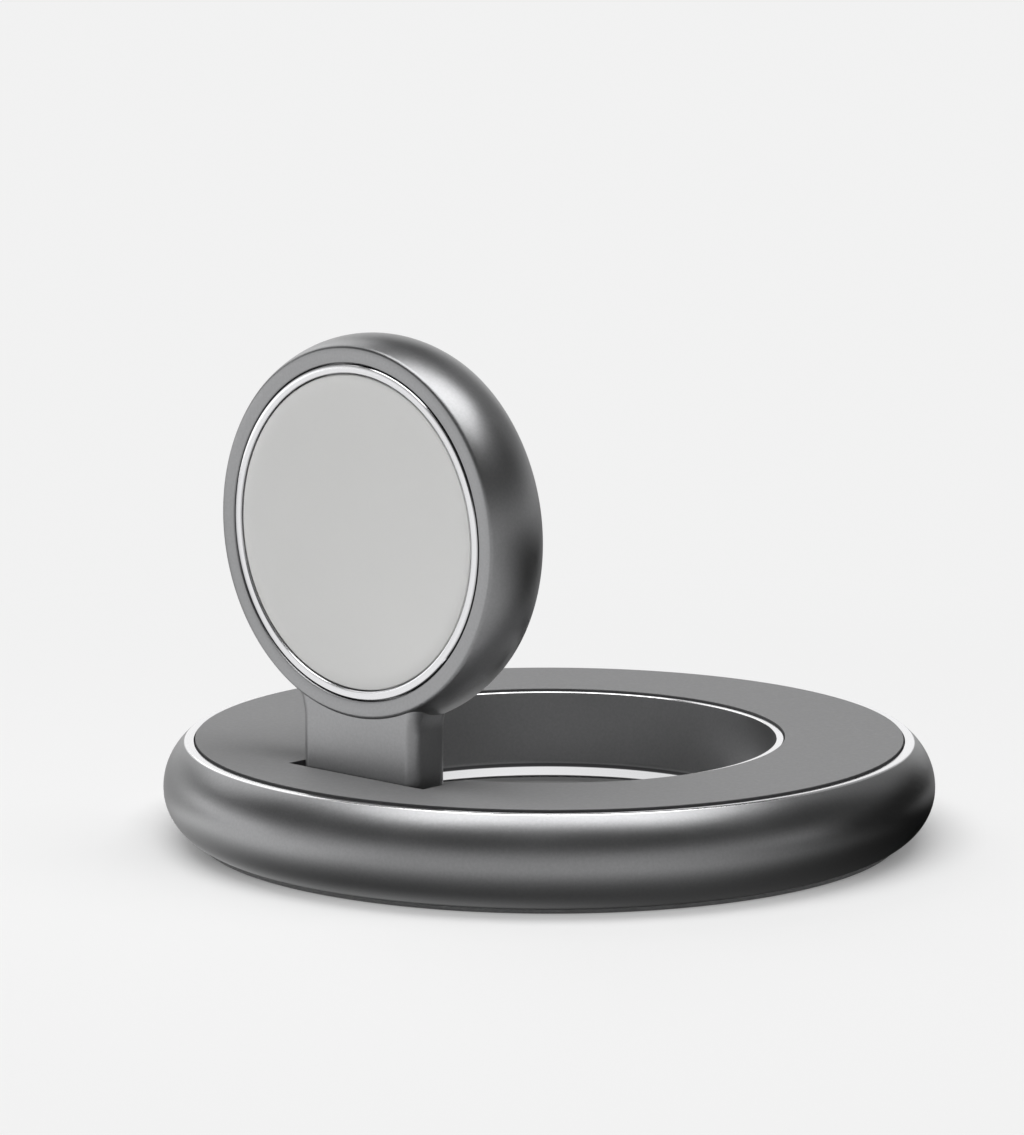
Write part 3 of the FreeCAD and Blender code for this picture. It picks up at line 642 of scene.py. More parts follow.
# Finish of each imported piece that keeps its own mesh.
INNER_FINISHES: Mapping[Finish, tuple[str, ...]] = {
    COVER_MOULDING: ("base_cover",),
    SCREW_STEEL: (
        "cover_screws", "block_screws", "board_screws", "hollow_shaft", "friction_shaft",
        "spring_washers", "shaft_nut",
    ),
    BALLAST_STEEL: ("ballast_right", "ballast_left"),
    BOARD: ("main_board", "coil_board"),
    CHIP: ("controller_chip", "lead_header"),
    JACKET: ("base_lead", "head_lead"),
    BEARING: ("hinge_bushes",),
    COIL_WIRE: ("charge_coil",),
    FERRITE: ("ferrite_disc", "choke_coil"),
    MAGNET_NICKEL: ("alignment_magnet",),
}


class Section:
    """An outline drawn point by point, to be turned or raised into a solid."""

    def __init__(self, plane: Plane, start: Point, origin: Vector = ORIGIN) -> None:
        """Put the first point down.

        Args:
            plane: Plane of the outline.
            start: First point, in the plane's own coordinates.
            origin: Where the plane's own zero lies.
        """
        self.plane = plane
        self.origin = origin
        self.mesh = bmesh.new()
        self.first = bmesh.ops.create_vert(self.mesh, co=self.place(start))["vert"][0]
        self.last = self.first
        self.here = start

    @classmethod
    def rectangle(cls, plane: Plane, low: Point, high: Point, origin: Vector = ORIGIN) -> "Section":
        """A closed rectangle between two corners."""
        return cls(plane, low, origin).line((high[0], low[1]), high, (low[0], high[1])).close()

    def place(self, point: Point) -> Vector:
        """A point of the plane in space."""
        along, up = self.plane.value
        return self.origin + along * point[0] + up * point[1]

    def line(self, *points: Point) -> "Section":
        """Go straight to each point in turn.

        Args:
            points: The points, in the plane's own coordinates.

        Returns:
            This section.
        """
        for point in points:
            self.last = bmesh.ops.extrude_vert_indiv(self.mesh, verts=[self.last])["verts"][0]
            self.last.co = self.place(point)
            self.here = point
        return self

    def arc(self, end: Point, centre: Point, steps: int) -> "Section":
        """Go round a centre, the short way, to a point.

        Args:
            end: Where the arc ends.
            centre: Its centre.
            steps: How many straight pieces it has.

        Returns:
            This section.
        """
        first, last = [math.atan2(p[1] - centre[1], p[0] - centre[0]) for p in (self.here, end)]
        turn = (last - first + math.pi) % math.tau - math.pi
        made = bmesh.ops.spin(
            self.mesh, geom=[self.last], cent=self.place(centre), axis=self.plane.normal,
            angle=turn, steps=steps,
        )
        self.last = next(item for item in made["geom_last"] if isinstance(item, bmesh.types.BMVert))
        self.last.co = self.place(end)
        self.here = end
        return self

    def close(self) -> "Section":
        """Join the last point to the first."""
        bmesh.ops.contextual_create(self.mesh, geom=[self.last, self.first])
        return self

    def turned(self, axis: Vector) -> Mesh:
        """Turn the outline right round an axis through its origin.

        Args:
            axis: The axis.

        Returns:
            The solid.
        """
        bmesh.ops.spin(
            self.mesh, geom=self.mesh.verts[:] + self.mesh.edges[:], cent=self.origin, axis=axis,
            angle=math.tau, steps=AROUND, use_merge=True,
        )
        return tidied(self.mesh)

    def raised(self, reach: Vector) -> Mesh:
        """Fill the outline and raise it.

        Args:
            reach: How far it goes, and where to.

        Returns:
            The solid.
        """
        face = bmesh.ops.contextual_create(self.mesh, geom=self.mesh.edges[:])["faces"][0]
        made = bmesh.ops.extrude_face_region(self.mesh, geom=[face], use_keep_orig=True)
        moved = [item for item in made["geom"] if isinstance(item, bmesh.types.BMVert)]
        bmesh.ops.translate(self.mesh, verts=moved, vec=reach)
        return tidied(self.mesh)


def tidied(mesh: Mesh) -> Mesh:
    """Merge the doubles of a mesh and turn its faces outwards.

    Args:
        mesh: The mesh.

    Returns:
        The same mesh.
    """
    bmesh.ops.remove_doubles(mesh, verts=mesh.verts[:], dist=MERGE_GAP)
    bmesh.ops.recalc_face_normals(mesh, faces=mesh.faces[:])
    return mesh


def edges_at(axis: Vector, level: float) -> EdgePick:
    """Pick of the edges that lie at a level along an axis."""
    return lambda edge: all(abs(vert.co.dot(axis) - level) < EDGE_REACH for vert in edge.verts)


def soften(
    mesh: Mesh,
    width: float,
    where: EdgePick = lambda edge: True,
    steps: int = EDGE_STEPS,
    clamp: bool = True,
) -> Mesh:
    """Round the sharp edges of a mesh.

    Args:
        mesh: The mesh.
        width: Width of the rounding, in metres.
        where: Picks the edges among the sharp ones.
        steps: Facets of the rounding.
        clamp: Whether short edges limit the width.

    Returns:
        The same mesh.
    """
    joints = [edge for edge in mesh.edges if len(edge.link_faces) == 2]
    sharp = [edge for edge in joints if edge.calc_face_angle(0.0) > SHARP and where(edge)]
    bmesh.ops.bevel(
        mesh, geom=sharp, offset=width, offset_type="OFFSET", segments=steps, profile=0.5,
        affect="EDGES", material=-1, clamp_overlap=clamp,
    )
    return mesh


def block(low: Vector, high: Vector) -> Mesh:
    """A plain block, to shape other pieces with.

    Args:
        low: Its lowest corner.
        high: Its highest corner.

    Returns:
        The block.
    """
    mesh = bmesh.new()
    bmesh.ops.create_cube(mesh, size=1.0)
    bmesh.ops.scale(mesh, vec=high - low, verts=mesh.verts[:])
    bmesh.ops.translate(mesh, vec=(low + high) / 2, verts=mesh.verts[:])
    return mesh


def rod(centre: Vector, radius: float, length: float, steps: int = 64) -> Mesh:
    """A round rod along X.

    Args:
        centre: Its middle.
        radius: Its radius.
        length: Its whole length.
        steps: Facets round it.

    Returns:
        The rod.
    """
    mesh = bmesh.new()
    bmesh.ops.create_cone(
        mesh, cap_ends=True, segments=steps, radius1=radius, radius2=radius, depth=length,
        matrix=Matrix.Translation(centre) @ ACROSS.to_track_quat("Z", "Y").to_matrix().to_4x4(),
    )
    return mesh


def bore_for(node: str) -> float:
    """Radius of the bore that takes a packed pin or bush along X."""
    low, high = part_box(node)
    return (high.z - low.z) / 2 + BORE_GAP


def linked(name: str, data: bpy.types.ID) -> bpy.types.Object:
    """Put a new object into the scene.

    Args:
        name: Its name.
        data: Its mesh, lamp or camera.

    Returns:
        The object.
    """
    made = bpy.data.objects.new(name, data)
    bpy.context.scene.collection.objects.link(made)
    return made


def placed(name: str, mesh: Mesh) -> bpy.types.Object:
    """Put a mesh into the scene as a new object.

    Args:
        name: Its name.
        mesh: The mesh, which is used up.

    Returns:
        The object.
    """
    data = bpy.data.meshes.new(name)
    mesh.to_mesh(data)
    mesh.free()
    return linked(name, data)


def staged_card(name: str, matrix: Matrix, material: bpy.types.Material) -> bpy.types.Object:
    """Put a flat card that isn't part of the object into the scene.

    Args:
        name: Its name.
        matrix: Takes a unit square to the card's place and size.
        material: Its material.

    Returns:
        The card.
    """
    mesh = bmesh.new()
    bmesh.ops.create_grid(mesh, x_segments=1, y_segments=1, size=0.5, matrix=matrix)
    card = placed(name, mesh)
    card.data.materials.append(material)
    return card


class Wardrobe:
    """Every material, made once."""

    _made: dict[Finish, bpy.types.Material] = {}

    @classmethod
    def dress(cls, data: bpy.types.Mesh, finish: Finish) -> None:
        """Give a mesh the material of a finish.

        Args:
            data: The mesh.
            finish: The finish.
        """
        if finish not in cls._made:
            cls._made[finish] = finish.make()
        data.materials.clear()
        data.materials.append(cls._made[finish])

    @classmethod
    def dress_inner_pieces(cls) -> None:
        """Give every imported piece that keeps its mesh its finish."""
        for finish, names in INNER_FINISHES.items():
            for name in names:
                cls.dress(frame["nodes"][name].data, finish)
                LOG.info("%s keeps its mesh in %s", name, finish.name)


class Piece:
    """A modelled piece: its object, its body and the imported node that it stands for."""

    def __init__(self, node: str, mesh: Mesh, body: Body) -> None:
        """Make the object from a mesh.

        Args:
            node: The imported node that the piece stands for.
            mesh: The mesh, which is used up.
            body: The body that it rides on.
        """
        self.node = node
        self.body = body
        self.object = placed(f"{node}_visual", mesh)

    def shape(self, tool: Mesh, how: Shape) -> "Piece":
        """Join another mesh to the piece, or cut it away.

        Args:
            tool: The other mesh, which is used up.
            how: What it does.

        Returns:
            This piece.
        """
        helper = placed(f"{self.node}_tool", tool)
        modifier = self.object.modifiers.new("shape", "BOOLEAN")
        modifier.operation = how.value
        modifier.solver = "EXACT"
        modifier.object = helper
        seen = self.object.evaluated_get(bpy.context.evaluated_depsgraph_get())
        data = bpy.data.meshes.new_from_object(seen)
        self.object.modifiers.clear()
        old = self.object.data
        self.object.data = data
        bpy.data.meshes.remove(old)
        bpy.data.meshes.remove(helper.data)
        return self

    def rounded(self, width: float, where: EdgePick, steps: int = 2) -> "Piece":
        """Round sharp edges of the finished shape.

        Args:
            width: Width of the rounding, in metres.
            where: Picks the edges among the sharp ones.
            steps: Facets of the rounding.

        Returns:
            This piece.
        """
        mesh = bmesh.new()
        mesh.from_mesh(self.object.data)
        bmesh.ops.remove_doubles(mesh, verts=mesh.verts[:], dist=CUT_GAP)
        bmesh.ops.dissolve_limit(
            mesh, angle_limit=FLAT, verts=mesh.verts[:], edges=mesh.edges[:],
            use_dissolve_boundaries=False,
        )
        soften(mesh, width, where, steps)
        mesh.to_mesh(self.object.data)
        mesh.free()
        return self

    def dress(self, finish: Finish) -> None:
        """Give the piece its finish and its place in the model.

        Args:
            finish: The finish.
        """
        data = self.object.data
        data.name = self.object.name
        Wardrobe.dress(data, finish)
        data.shade_smooth()
        data.set_sharp_from_angle(angle=SHARP)
        normals = self.object.modifiers.new("even_shading", "WEIGHTED_NORMAL")
        normals.keep_sharp = True
        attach(self.object, self.body.value)
        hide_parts(self.node)
        LOG.info("%s: %d faces in %s", self.object.name, len(data.polygons), finish.name)


@dataclass
class RingBase:
    """The ring with its pad, foot and supply inlet."""

    radius: float
    top: float
    bottom: float
    belly: float = 4.75 * MM
    top_slope: float = 2.1 * MM
    base_slope: float = 3.1 * MM
    outer_wall: float = 4.4 * MM
    channel_width: float = 6.9 * MM
    inner_wall: float = 3.5 * MM
    hole_edge: float = 2.0 * MM
    outer_rim: float = 0.8 * MM
    inner_rim: float = 0.7 * MM
    deck: float = 1.0 * MM
    cover_ledge: float = 0.5 * MM
    fit: float = 0.1 * MM
    mouth_fit: float = 0.15 * MM
    foot_inset: float = 0.05 * MM
    foot_setback: float = 0.6 * MM
    inlet_wall: float = 0.3 * MM
    inlet_floor: float = 0.8 * MM
    rim_round: float = 0.10 * MM
    pad_round: float = 0.05 * MM
    lip_round: float = 0.08 * MM
    blade_round: float = 0.12 * MM
    side_steps: int = 18
    hole_steps: int = 14
    cap_steps: int = 12

    @classmethod
    def from_frame(cls) -> "RingBase":
        """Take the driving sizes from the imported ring."""
        low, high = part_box("base_ring")
        return cls(radius=high.x, top=high.z, bottom=low.z)

    @property
    def channel_outer(self) -> float:
        """Outer radius of the channel under the deck."""
        return self.radius - self.outer_wall

    @property
    def channel_inner(self) -> float:
        """Inner radius of the channel under the deck."""
        return self.channel_outer - self.channel_width

    @property
    def hole(self) -> float:
        """Radius of the opening."""
        return self.channel_inner - self.inner_wall

    def side_centre(self, slope: float, level: float) -> Point:
        """Centre of the side's arc between the belly and a level, as radius and height."""
        rise = level - self.belly
        return self.radius - (slope**2 + rise**2) / (2 * slope), self.belly

    def build(self) -> None:
        """Model and dress the ring, its pad, its foot and its inlet."""
        self.build_ring().dress(RING_METAL)
        self.build_pad().dress(PAD_SOFT)
        self.build_foot().dress(FOOT_RUBBER)
        self.build_inlet_shell().dress(INLET_STEEL)
        self.build_inlet_blade().dress(BLADE)

    def build_ring(self) -> Piece:
        """Turn the ring and cut its hinge notch and inlet mouth.

        Returns:
            The ring.
        """
        pad_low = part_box("top_pad")[0].z
        cover_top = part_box("ballast_right")[0].z
        deck_low = pad_low - self.deck
        rim = self.radius - self.top_slope
        recess_outer, recess_inner = rim - self.outer_rim, self.hole + self.inner_rim
        pocket_outer = self.channel_outer + self.cover_ledge
        pocket_inner = self.channel_inner - self.cover_ledge
        base = (self.radius - self.base_slope, self.bottom)
        edge = (self.hole + self.hole_edge, self.bottom + self.hole_edge)
        section = Section(Plane.ACROSS_AND_UP, (recess_outer, pad_low))
        section.line((recess_outer, self.top), (rim, self.top))
        upper = self.side_centre(self.top_slope, self.top)
        section.arc((self.radius, self.belly), upper, self.side_steps)
        section.arc(base, self.side_centre(self.base_slope, self.bottom), self.side_steps)
        section.line((pocket_outer, self.bottom), (pocket_outer, cover_top))
        section.line((self.channel_outer, cover_top), (self.channel_outer, deck_low))
        section.line((self.channel_inner, deck_low), (self.channel_inner, cover_top))
        section.line((pocket_inner, cover_top), (pocket_inner, self.bottom), (edge[0], self.bottom))
        section.arc((self.hole, edge[1]), edge, self.hole_steps)
        section.line((self.hole, self.top), (recess_inner, self.top), (recess_inner, pad_low))
        mesh = soften(section.close().turned(UP), self.rim_round, edges_at(UP, self.top))
        ring = Piece("base_ring", mesh, Body.BASE)

        low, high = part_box("hinge_block")
        notch_low = low - Vector((self.fit, self.fit, 0))
        notch_high = Vector((high.x + self.fit, 0, self.top + self.deck))
        ring.shape(block(notch_low, notch_high), Shape.CARVE)
        reach = (self.channel_outer, self.radius + self.deck)
        return ring.shape(self.oval("port_shell", self.mouth_fit, *reach), Shape.CARVE)

    def build_pad(self) -> Piece:
        """Turn the inlay pad and cut it out round the hinge.

        Returns:
            The pad.
        """
        low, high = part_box("top_pad")
        inner = (self.hole + self.inner_rim + self.fit, low.z)
        mesh = Section.rectangle(Plane.ACROSS_AND_UP, inner, (high.x, high.z)).turned(UP)
        soften(mesh, self.pad_round, edges_at(UP, high.z))
        hinge = Hinge.from_frame()
        notch = block(
            Vector((-hinge.trough_half, hinge.stop, low.z - self.fit)),
            Vector((hinge.trough_half, 0, high.z + self.deck)),
        )
        return Piece("top_pad", mesh, Body.BASE).shape(notch, Shape.CARVE)

    def build_foot(self) -> Piece:
        """Turn the soft foot.

        Returns:
            The foot.
        """
        low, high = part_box("foot_ring")
        inner = self.hole + self.hole_edge + self.foot_setback
        outer = self.radius - self.base_slope - self.foot_inset
        section = Section.rectangle(Plane.ACROSS_AND_UP, (inner, low.z), (outer, high.z))
        return Piece("foot_ring", soften(section.turned(UP), self.rim_round), Body.BASE)

    def oval(self, node: str, grow: float, start: float, end: float) -> Mesh:
        """A flat-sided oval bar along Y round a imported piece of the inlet.

        Args:
            node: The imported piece.
            grow: How much larger the bar is all round.
            start: Where it starts along Y.
            end: Where it ends along Y.

        Returns:
            The bar.
        """
        low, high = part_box(node)
        cap = (high.z - low.z) / 2 + grow
        straight = (high.x - low.x) / 2 + grow - cap
        middle = Vector((0, start, (low.z + high.z) / 2))
        section = Section(Plane.ACROSS_AND_UP, (straight, -cap), middle)
        for side in (1, -1):
            centre = (side * straight, 0)
            section.arc((side * (straight + cap), 0), centre, self.cap_steps)
            section.arc((side * straight, side * cap), centre, self.cap_steps)
            if side > 0:
                section.line((-straight, cap))
        return section.close().raised(BACK * (end - start))

    def build_inlet_shell(self) -> Piece:
        """Model the inlet's plated shell, a tube with a rolled lip.

        Returns:
            The shell.
        """
        start, end = (corner.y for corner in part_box("port_shell"))
        shell = Piece("port_shell", self.oval("port_shell", 0.0, start, end), Body.BASE)
        floor = self.inlet_floor
        inside = self.oval("port_shell", -self.inlet_wall, start + floor, end + floor)
        return shell.shape(inside, Shape.CARVE).rounded(self.lip_round, edges_at(BACK, end))

    def build_inlet_blade(self) -> Piece:
        """Model the contact blade with its rounded front edge.

        Returns:
            The blade.
        """
        start, end = (corner.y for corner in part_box("port_tongue"))
        blade = self.oval("port_tongue", 0.0, start, end)
        soften(blade, self.blade_round, edges_at(BACK, end))
        return Piece("port_tongue", blade, Body.BASE)


@dataclass
class Hinge:
    """The hinge block in the ring's notch."""

    axis: Vector
    knuckle_radius: float
    trough_half: float
    stop: float
    swing: float = 0.3 * MM
    stop_gap: float = 0.05 * MM
    stop_steps: int = 8
    floor_steps: int = 16

    @classmethod
    def from_frame(cls) -> "Hinge":
        """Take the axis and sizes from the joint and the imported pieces.

        Returns:
            The hinge.
        """
        axis = Vector(frame["joints"][0]["pos_m"])
        radius = axis.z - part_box("head_shell")[0].z
        bush_half = min(abs(v.co.x) for v in frame["nodes"]["hinge_bushes"].data.vertices)
        return cls(axis, radius, bush_half, axis.y - radius - cls.stop_gap)

    def build(self, ring: RingBase) -> None:
        """Model and dress the block.

        Args:
            ring: The ring that it is let into.
        """
        low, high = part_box("hinge_block")
        pad_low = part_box("top_pad")[0].z
        rim = ring.hole + ring.inner_rim
        section = Section(Plane.ACROSS_AND_UP, (ring.hole, low.z))
        section.line((ring.channel_outer, low.z), (ring.channel_outer, pad_low))
        section.line((rim, pad_low), (rim, high.z), (ring.hole, high.z)).close()
        mesh = soften(section.turned(UP), ring.rim_round, edges_at(UP, ring.top))
        piece = Piece("hinge_block", mesh, Body.BASE)
        reach = UP * ring.deck
        piece.shape(block(low - reach, Vector((high.x, 0, high.z)) + reach), Shape.KEEP_COMMON)
        piece.shape(self.trough(high.z + ring.deck), Shape.CARVE)
        piece.shape(rod(self.axis, bore_for("hinge_bushes"), 3 * high.x), Shape.CARVE)
        piece.dress(BLOCK_METAL)

    def trough(self, above: float) -> Mesh:
        """The space that the knuckle turns in.

        Args:
            above: Level that the space is open to.

        Returns:
            The space.
        """
        radius = self.knuckle_radius + self.swing
        ahead, behind = self.stop - self.axis.y, -self.axis.y
        start, top = math.sqrt(radius**2 - ahead**2), above - self.axis.z
        side = self.axis - ACROSS * self.trough_half
        section = Section(Plane.BACK_AND_UP, (ahead, top), side).line((ahead, start))
        section.arc((-radius, 0), (0, 0), self.stop_steps)
        section.arc((0, -radius), (0, 0), self.floor_steps)
        section.line((behind, -radius), (behind, top)).close()
        return section.raised(ACROSS * (2 * self.trough_half))


@dataclass
class ChargingHead:
    """The flip-up head: shell, dished charging face, bright trim and rear cover."""

    front: float
    depth: float
    radius: float
    height: float
    hinge: Hinge
    side_bulge: float = 0.9 * MM
    lip_width: float = 1.4 * MM
    lip_thickness: float = 0.6 * MM
    board_ledge: float = 0.6 * MM
    neck_half: float = 7.0 * MM
    flare: float = 5.0 * MM
    neck_round: float = 1.1 * MM
    neck_sink: float = 0.3 * MM
    neck_step: float = 0.1 * MM
    cup_rim: float = 0.9 * MM
    dish_depth: float = 1.0 * MM
    fit: float = 0.1 * MM
    edge_round: float = 0.22 * MM
    trim_round: float = 0.18 * MM
    knuckle_round: float = 0.20 * MM
    side_steps: int = 12
    flare_steps: int = 12
    join_steps: int = 24
    neck_round_steps: int = 6
    knuckle_steps: int = 96
    dish_steps: int = 40

    @classmethod
    def from_frame(cls) -> "ChargingHead":
        """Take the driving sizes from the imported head.

        Returns:
            The head.
        """
        low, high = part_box("head_shell")
        cover_low, cover_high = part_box("rear_cover")
        height = (cover_low.z + cover_high.z) / 2
        return cls(low.y, high.y - low.y, high.z - height, height, Hinge.from_frame())

    @property
    def centre(self) -> Vector:
        """Middle of the charging face."""
        return Vector((0, self.front, self.height))

    @property
    def edge(self) -> float:
        """Radius of the shell at its front and back edges."""
        return self.radius - self.side_bulge

    def build(self) -> None:
        """Model and dress the shell and what it holds in view."""
        self.build_shell().dress(HEAD_METAL)
        self.build_trim().dress(TRIM_STEEL)
        self.build_cup().dress(CUP_PLASTIC)
        self.build_rear_cover().dress(REAR_METAL)

    def section(self, start: Point) -> Section:
        """Start a section in radius and depth behind the face."""
        return Section(Plane.ACROSS_AND_BACK, start, self.centre)

    def radius_of(self, node: str) -> float:
        """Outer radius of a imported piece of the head."""
        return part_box(node)[1].x

    def depths_of(self, node: str) -> Point:
        """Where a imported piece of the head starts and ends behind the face."""
        low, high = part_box(node)
        return low.y - self.front, high.y - self.front

    def edges_behind(self, depth: float) -> EdgePick:
        """Pick of the edges at a depth behind the face."""
        return edges_at(BACK, self.front + depth)

    def build_shell(self) -> Piece:
        """Turn the shell and join its neck and knuckle to it.

        Returns:
            The shell.
        """
        trim_hole = self.radius_of("cup_trim") + self.fit
        cover_hole = self.radius_of("rear_cover") + self.fit
        board_hole = self.radius_of("coil_board") + self.fit
        seat = self.depths_of("cup_trim")[1]
        cover_front = self.depths_of("rear_cover")[0]
        board_front = self.depths_of("coil_board")[0]
        cavity = self.radius_of("coil_board") - self.board_ledge
        lip, lip_back = trim_hole - self.lip_width, seat + self.lip_thickness
        half = self.depth / 2
        side = (self.radius - (self.side_bulge**2 + half**2) / (2 * self.side_bulge), half)
        section = self.section((trim_hole, 0)).line((self.edge, 0))
        section.arc((self.radius, half), side, self.side_steps)
        section.arc((self.edge, self.depth), side, self.side_steps)
        section.line((cover_hole, self.depth), (cover_hole, cover_front), (board_hole, cover_front))
        section.line((board_hole, board_front), (cavity, board_front), (cavity, lip_back))
        section.line((lip, lip_back), (lip, seat), (trim_hole, seat)).close()
        mesh = section.turned(BACK)
        at_front, at_back = self.edges_behind(0), self.edges_behind(self.depth)
        soften(mesh, self.edge_round, lambda edge: at_front(edge) or at_back(edge))
        shell = Piece("head_shell", mesh, Body.HEAD)
        shell.shape(self.neck(trim_hole + self.fit / 2), Shape.JOIN)
        shell.shape(self.knuckle(), Shape.JOIN)
        bore = rod(self.hinge.axis, bore_for("friction_shaft"), 4 * self.hinge.trough_half)
        return shell.shape(bore, Shape.CARVE)

    def neck(self, inside: float) -> Mesh:
        """The neck from the knuckle up to the shell's wall, with flared and rounded sides.

        Args:
            inside: Radius in the shell's wall at which the neck ends.

        Returns:
            The neck.
        """
        half = self.hinge.knuckle_radius - self.neck_step
        join = self.edge - self.neck_sink
        flare_x = self.neck_half + self.flare
        flare_z = -math.sqrt((join + self.flare) ** 2 - flare_x**2)
        share = join / (join + self.flare)
        meet = (flare_x * share, flare_z * share)
        top = (meet[0] * inside / join, meet[1] * inside / join)
        drop = self.hinge.axis.z - self.height
        origin = Vector((0, self.hinge.axis.y - half, self.height))
        section = Section(Plane.ACROSS_AND_UP, (-self.neck_half, drop), origin)
        section.line((self.neck_half, drop), (self.neck_half, flare_z))
        section.arc(meet, (flare_x, flare_z), self.flare_steps).line(top)
        section.arc((-top[0], top[1]), (0, 0), self.join_steps).line((-meet[0], meet[1]))
        section.arc((-self.neck_half, flare_z), (-flare_x, flare_z), self.flare_steps).close()
        mesh = section.raised(BACK * (2 * half))
        ceiling = self.height + meet[1] + self.fit

        def on_side(edge: Edge) -> bool:
            """Whether an edge runs down one side of the neck, on its front or back."""
            (x0, y0, z0), (x1, y1, z1) = (vert.co for vert in edge.verts)
            return abs(y0 - y1) < CUT_GAP and x0 * x1 > 0 and max(z0, z1) < ceiling

        return soften(mesh, self.neck_round, on_side, self.neck_round_steps, clamp=False)

    def knuckle(self) -> Mesh:
        """The round knuckle on the hinge axis.

        Returns:
            The knuckle.
        """
        width = 2 * (self.hinge.trough_half - self.hinge.swing)
        mesh = rod(self.hinge.axis, self.hinge.knuckle_radius, width, self.knuckle_steps)
        return soften(mesh, self.knuckle_round)

    def build_trim(self) -> Piece:
        """Turn the bright trim round the charging face.

        Returns:
            The trim.
        """
        front, back = self.depths_of("cup_trim")
        inner = (self.radius_of("charging_cup") + self.fit, front)
        outer = (self.radius_of("cup_trim"), back)
        mesh = Section.rectangle(Plane.ACROSS_AND_BACK, inner, outer, self.centre).turned(BACK)
        soften(mesh, self.trim_round, self.edges_behind(front))
        return Piece("cup_trim", mesh, Body.HEAD)

    def build_cup(self) -> Piece:
        """Turn the dished charging face.

        Returns:
            The cup.
        """
        outer = self.radius_of("charging_cup")
        front, back = self.depths_of("charging_cup")
        dish, bottom = outer - self.cup_rim, front + self.dish_depth
        plug = self.radius_of("cup_trim") - self.lip_width
        seat = self.depths_of("cup_trim")[1]
        sphere = (dish**2 + self.dish_depth**2) / (2 * self.dish_depth)
        section = self.section((0.0, bottom))
        section.arc((dish, front), (0.0, bottom - sphere), self.dish_steps)
        section.line((outer, front), (outer, seat), (plug, seat), (plug, back), (0.0, back))
        mesh = soften(section.turned(BACK), self.trim_round, self.edges_behind(front))
        return Piece("charging_cup", mesh, Body.HEAD)

    def build_rear_cover(self) -> Piece:
        """Turn the rear cover.

        Returns:
            The cover.
        """
        outer = self.radius_of("rear_cover")
        front, back = self.depths_of("rear_cover")
        section = self.section((0.0, front)).line((outer, front), (outer, back), (0.0, back))
        mesh = soften(section.turned(BACK), self.trim_round, self.edges_behind(back))
        return Piece("rear_cover", mesh, Body.HEAD)


@dataclass(frozen=True)
class SoftBox:
    """A soft area lamp; bearings count from the camera, in degrees to its right."""

    name: str
    bearing: float
    elevation: float
    distance: float
    width: float
    height: float
    radiance: float
    shift: Point = (0.0, 0.0)

    def place(self, azimuth: float, aim: Vector) -> None:
        """Hang the lamp.

        Args:
            azimuth: Azimuth of the camera, in degrees.
            aim: The point that the lamp looks at.
        """
        turn = Matrix.Rotation(math.radians(azimuth + self.bearing), 4, "Z")
        tilt = Matrix.Rotation(math.radians(90 - self.elevation), 4, "X")
        lamp = bpy.data.lights.new(self.name, "AREA")
        lamp.shape = "RECTANGLE"
        lamp.size, lamp.size_y = self.width, self.height
        lamp.energy = self.radiance * math.pi * self.width * self.height
        offset = Matrix.Translation((*self.shift, self.distance))
        linked(self.name, lamp).matrix_world = Matrix.Translation(aim) @ turn @ tilt @ offset


@dataclass(frozen=True)
class Flag:
    """A dark card beside the object that only reflections show."""

    name: str = "dark_flag"
    bearing: float = 118.0
    distance: float = 0.075
    width: float = 0.084
    slide: float = -0.034
    height: float = 0.022
    tone: float = 0.02

    def place(self, azimuth: float) -> None:
        """Stand the card on the floor, facing the object.

        Args:
            azimuth: Azimuth of the camera, in degrees.
        """
        material, graph = Graph.of_material(self.name)
        graph.end(graph.node("ShaderNodeBsdfDiffuse", inputs={"Color": shade(WHITE, self.tone)}))
        turn = Matrix.Rotation(math.radians(azimuth + self.bearing), 4, "Z")
        middle = Matrix.Translation((self.slide, -self.distance, self.height / 2))
        upright = Matrix.Rotation(math.radians(90), 4, "X")
        size = Matrix.Diagonal((self.width, self.height, 1, 1))
        card = staged_card(self.name, turn @ middle @ upright @ size, material)
        card.visible_camera = card.visible_diffuse = card.visible_shadow = False


@dataclass(frozen=True)
class Sector:
    """A side of the floor, which fades in between two cosines of the angle from its bearing."""

    bearing: float
    low: float
    high: float
    gain: float = 1.0


class FloorMap:
    """Masks of the floor by the distance from the object's axis and by the bearing."""

    def __init__(self, graph: Graph, azimuth: float) -> None:
        """Measure the floor.

        Args:
            graph: The floor's graph.
            azimuth: Azimuth of the camera, in degrees.
        """
        self.graph = graph
        self.azimuth = azimuth
        self.coords = graph.coords()
        self.radius = graph.distance(self.coords, ORIGIN, ACROSS + BACK)

    def beyond(self, band: Point) -> Value:
        """0 inside a band of radii, fading to 1 outside it."""
        return self.graph.step(self.radius, *band)

    def within(self, band: Point) -> Value:
        """1 inside a band of radii, fading to 0 outside it."""
        return 1 - self.beyond(band)

    def side(self, sector: Sector) -> Value:
        """A sector's mask, times its gain."""
        cosine = self.graph.facing(self.coords, self.azimuth + sector.bearing) / self.radius
        return self.graph.step(cosine, sector.low, sector.high) * sector.gain


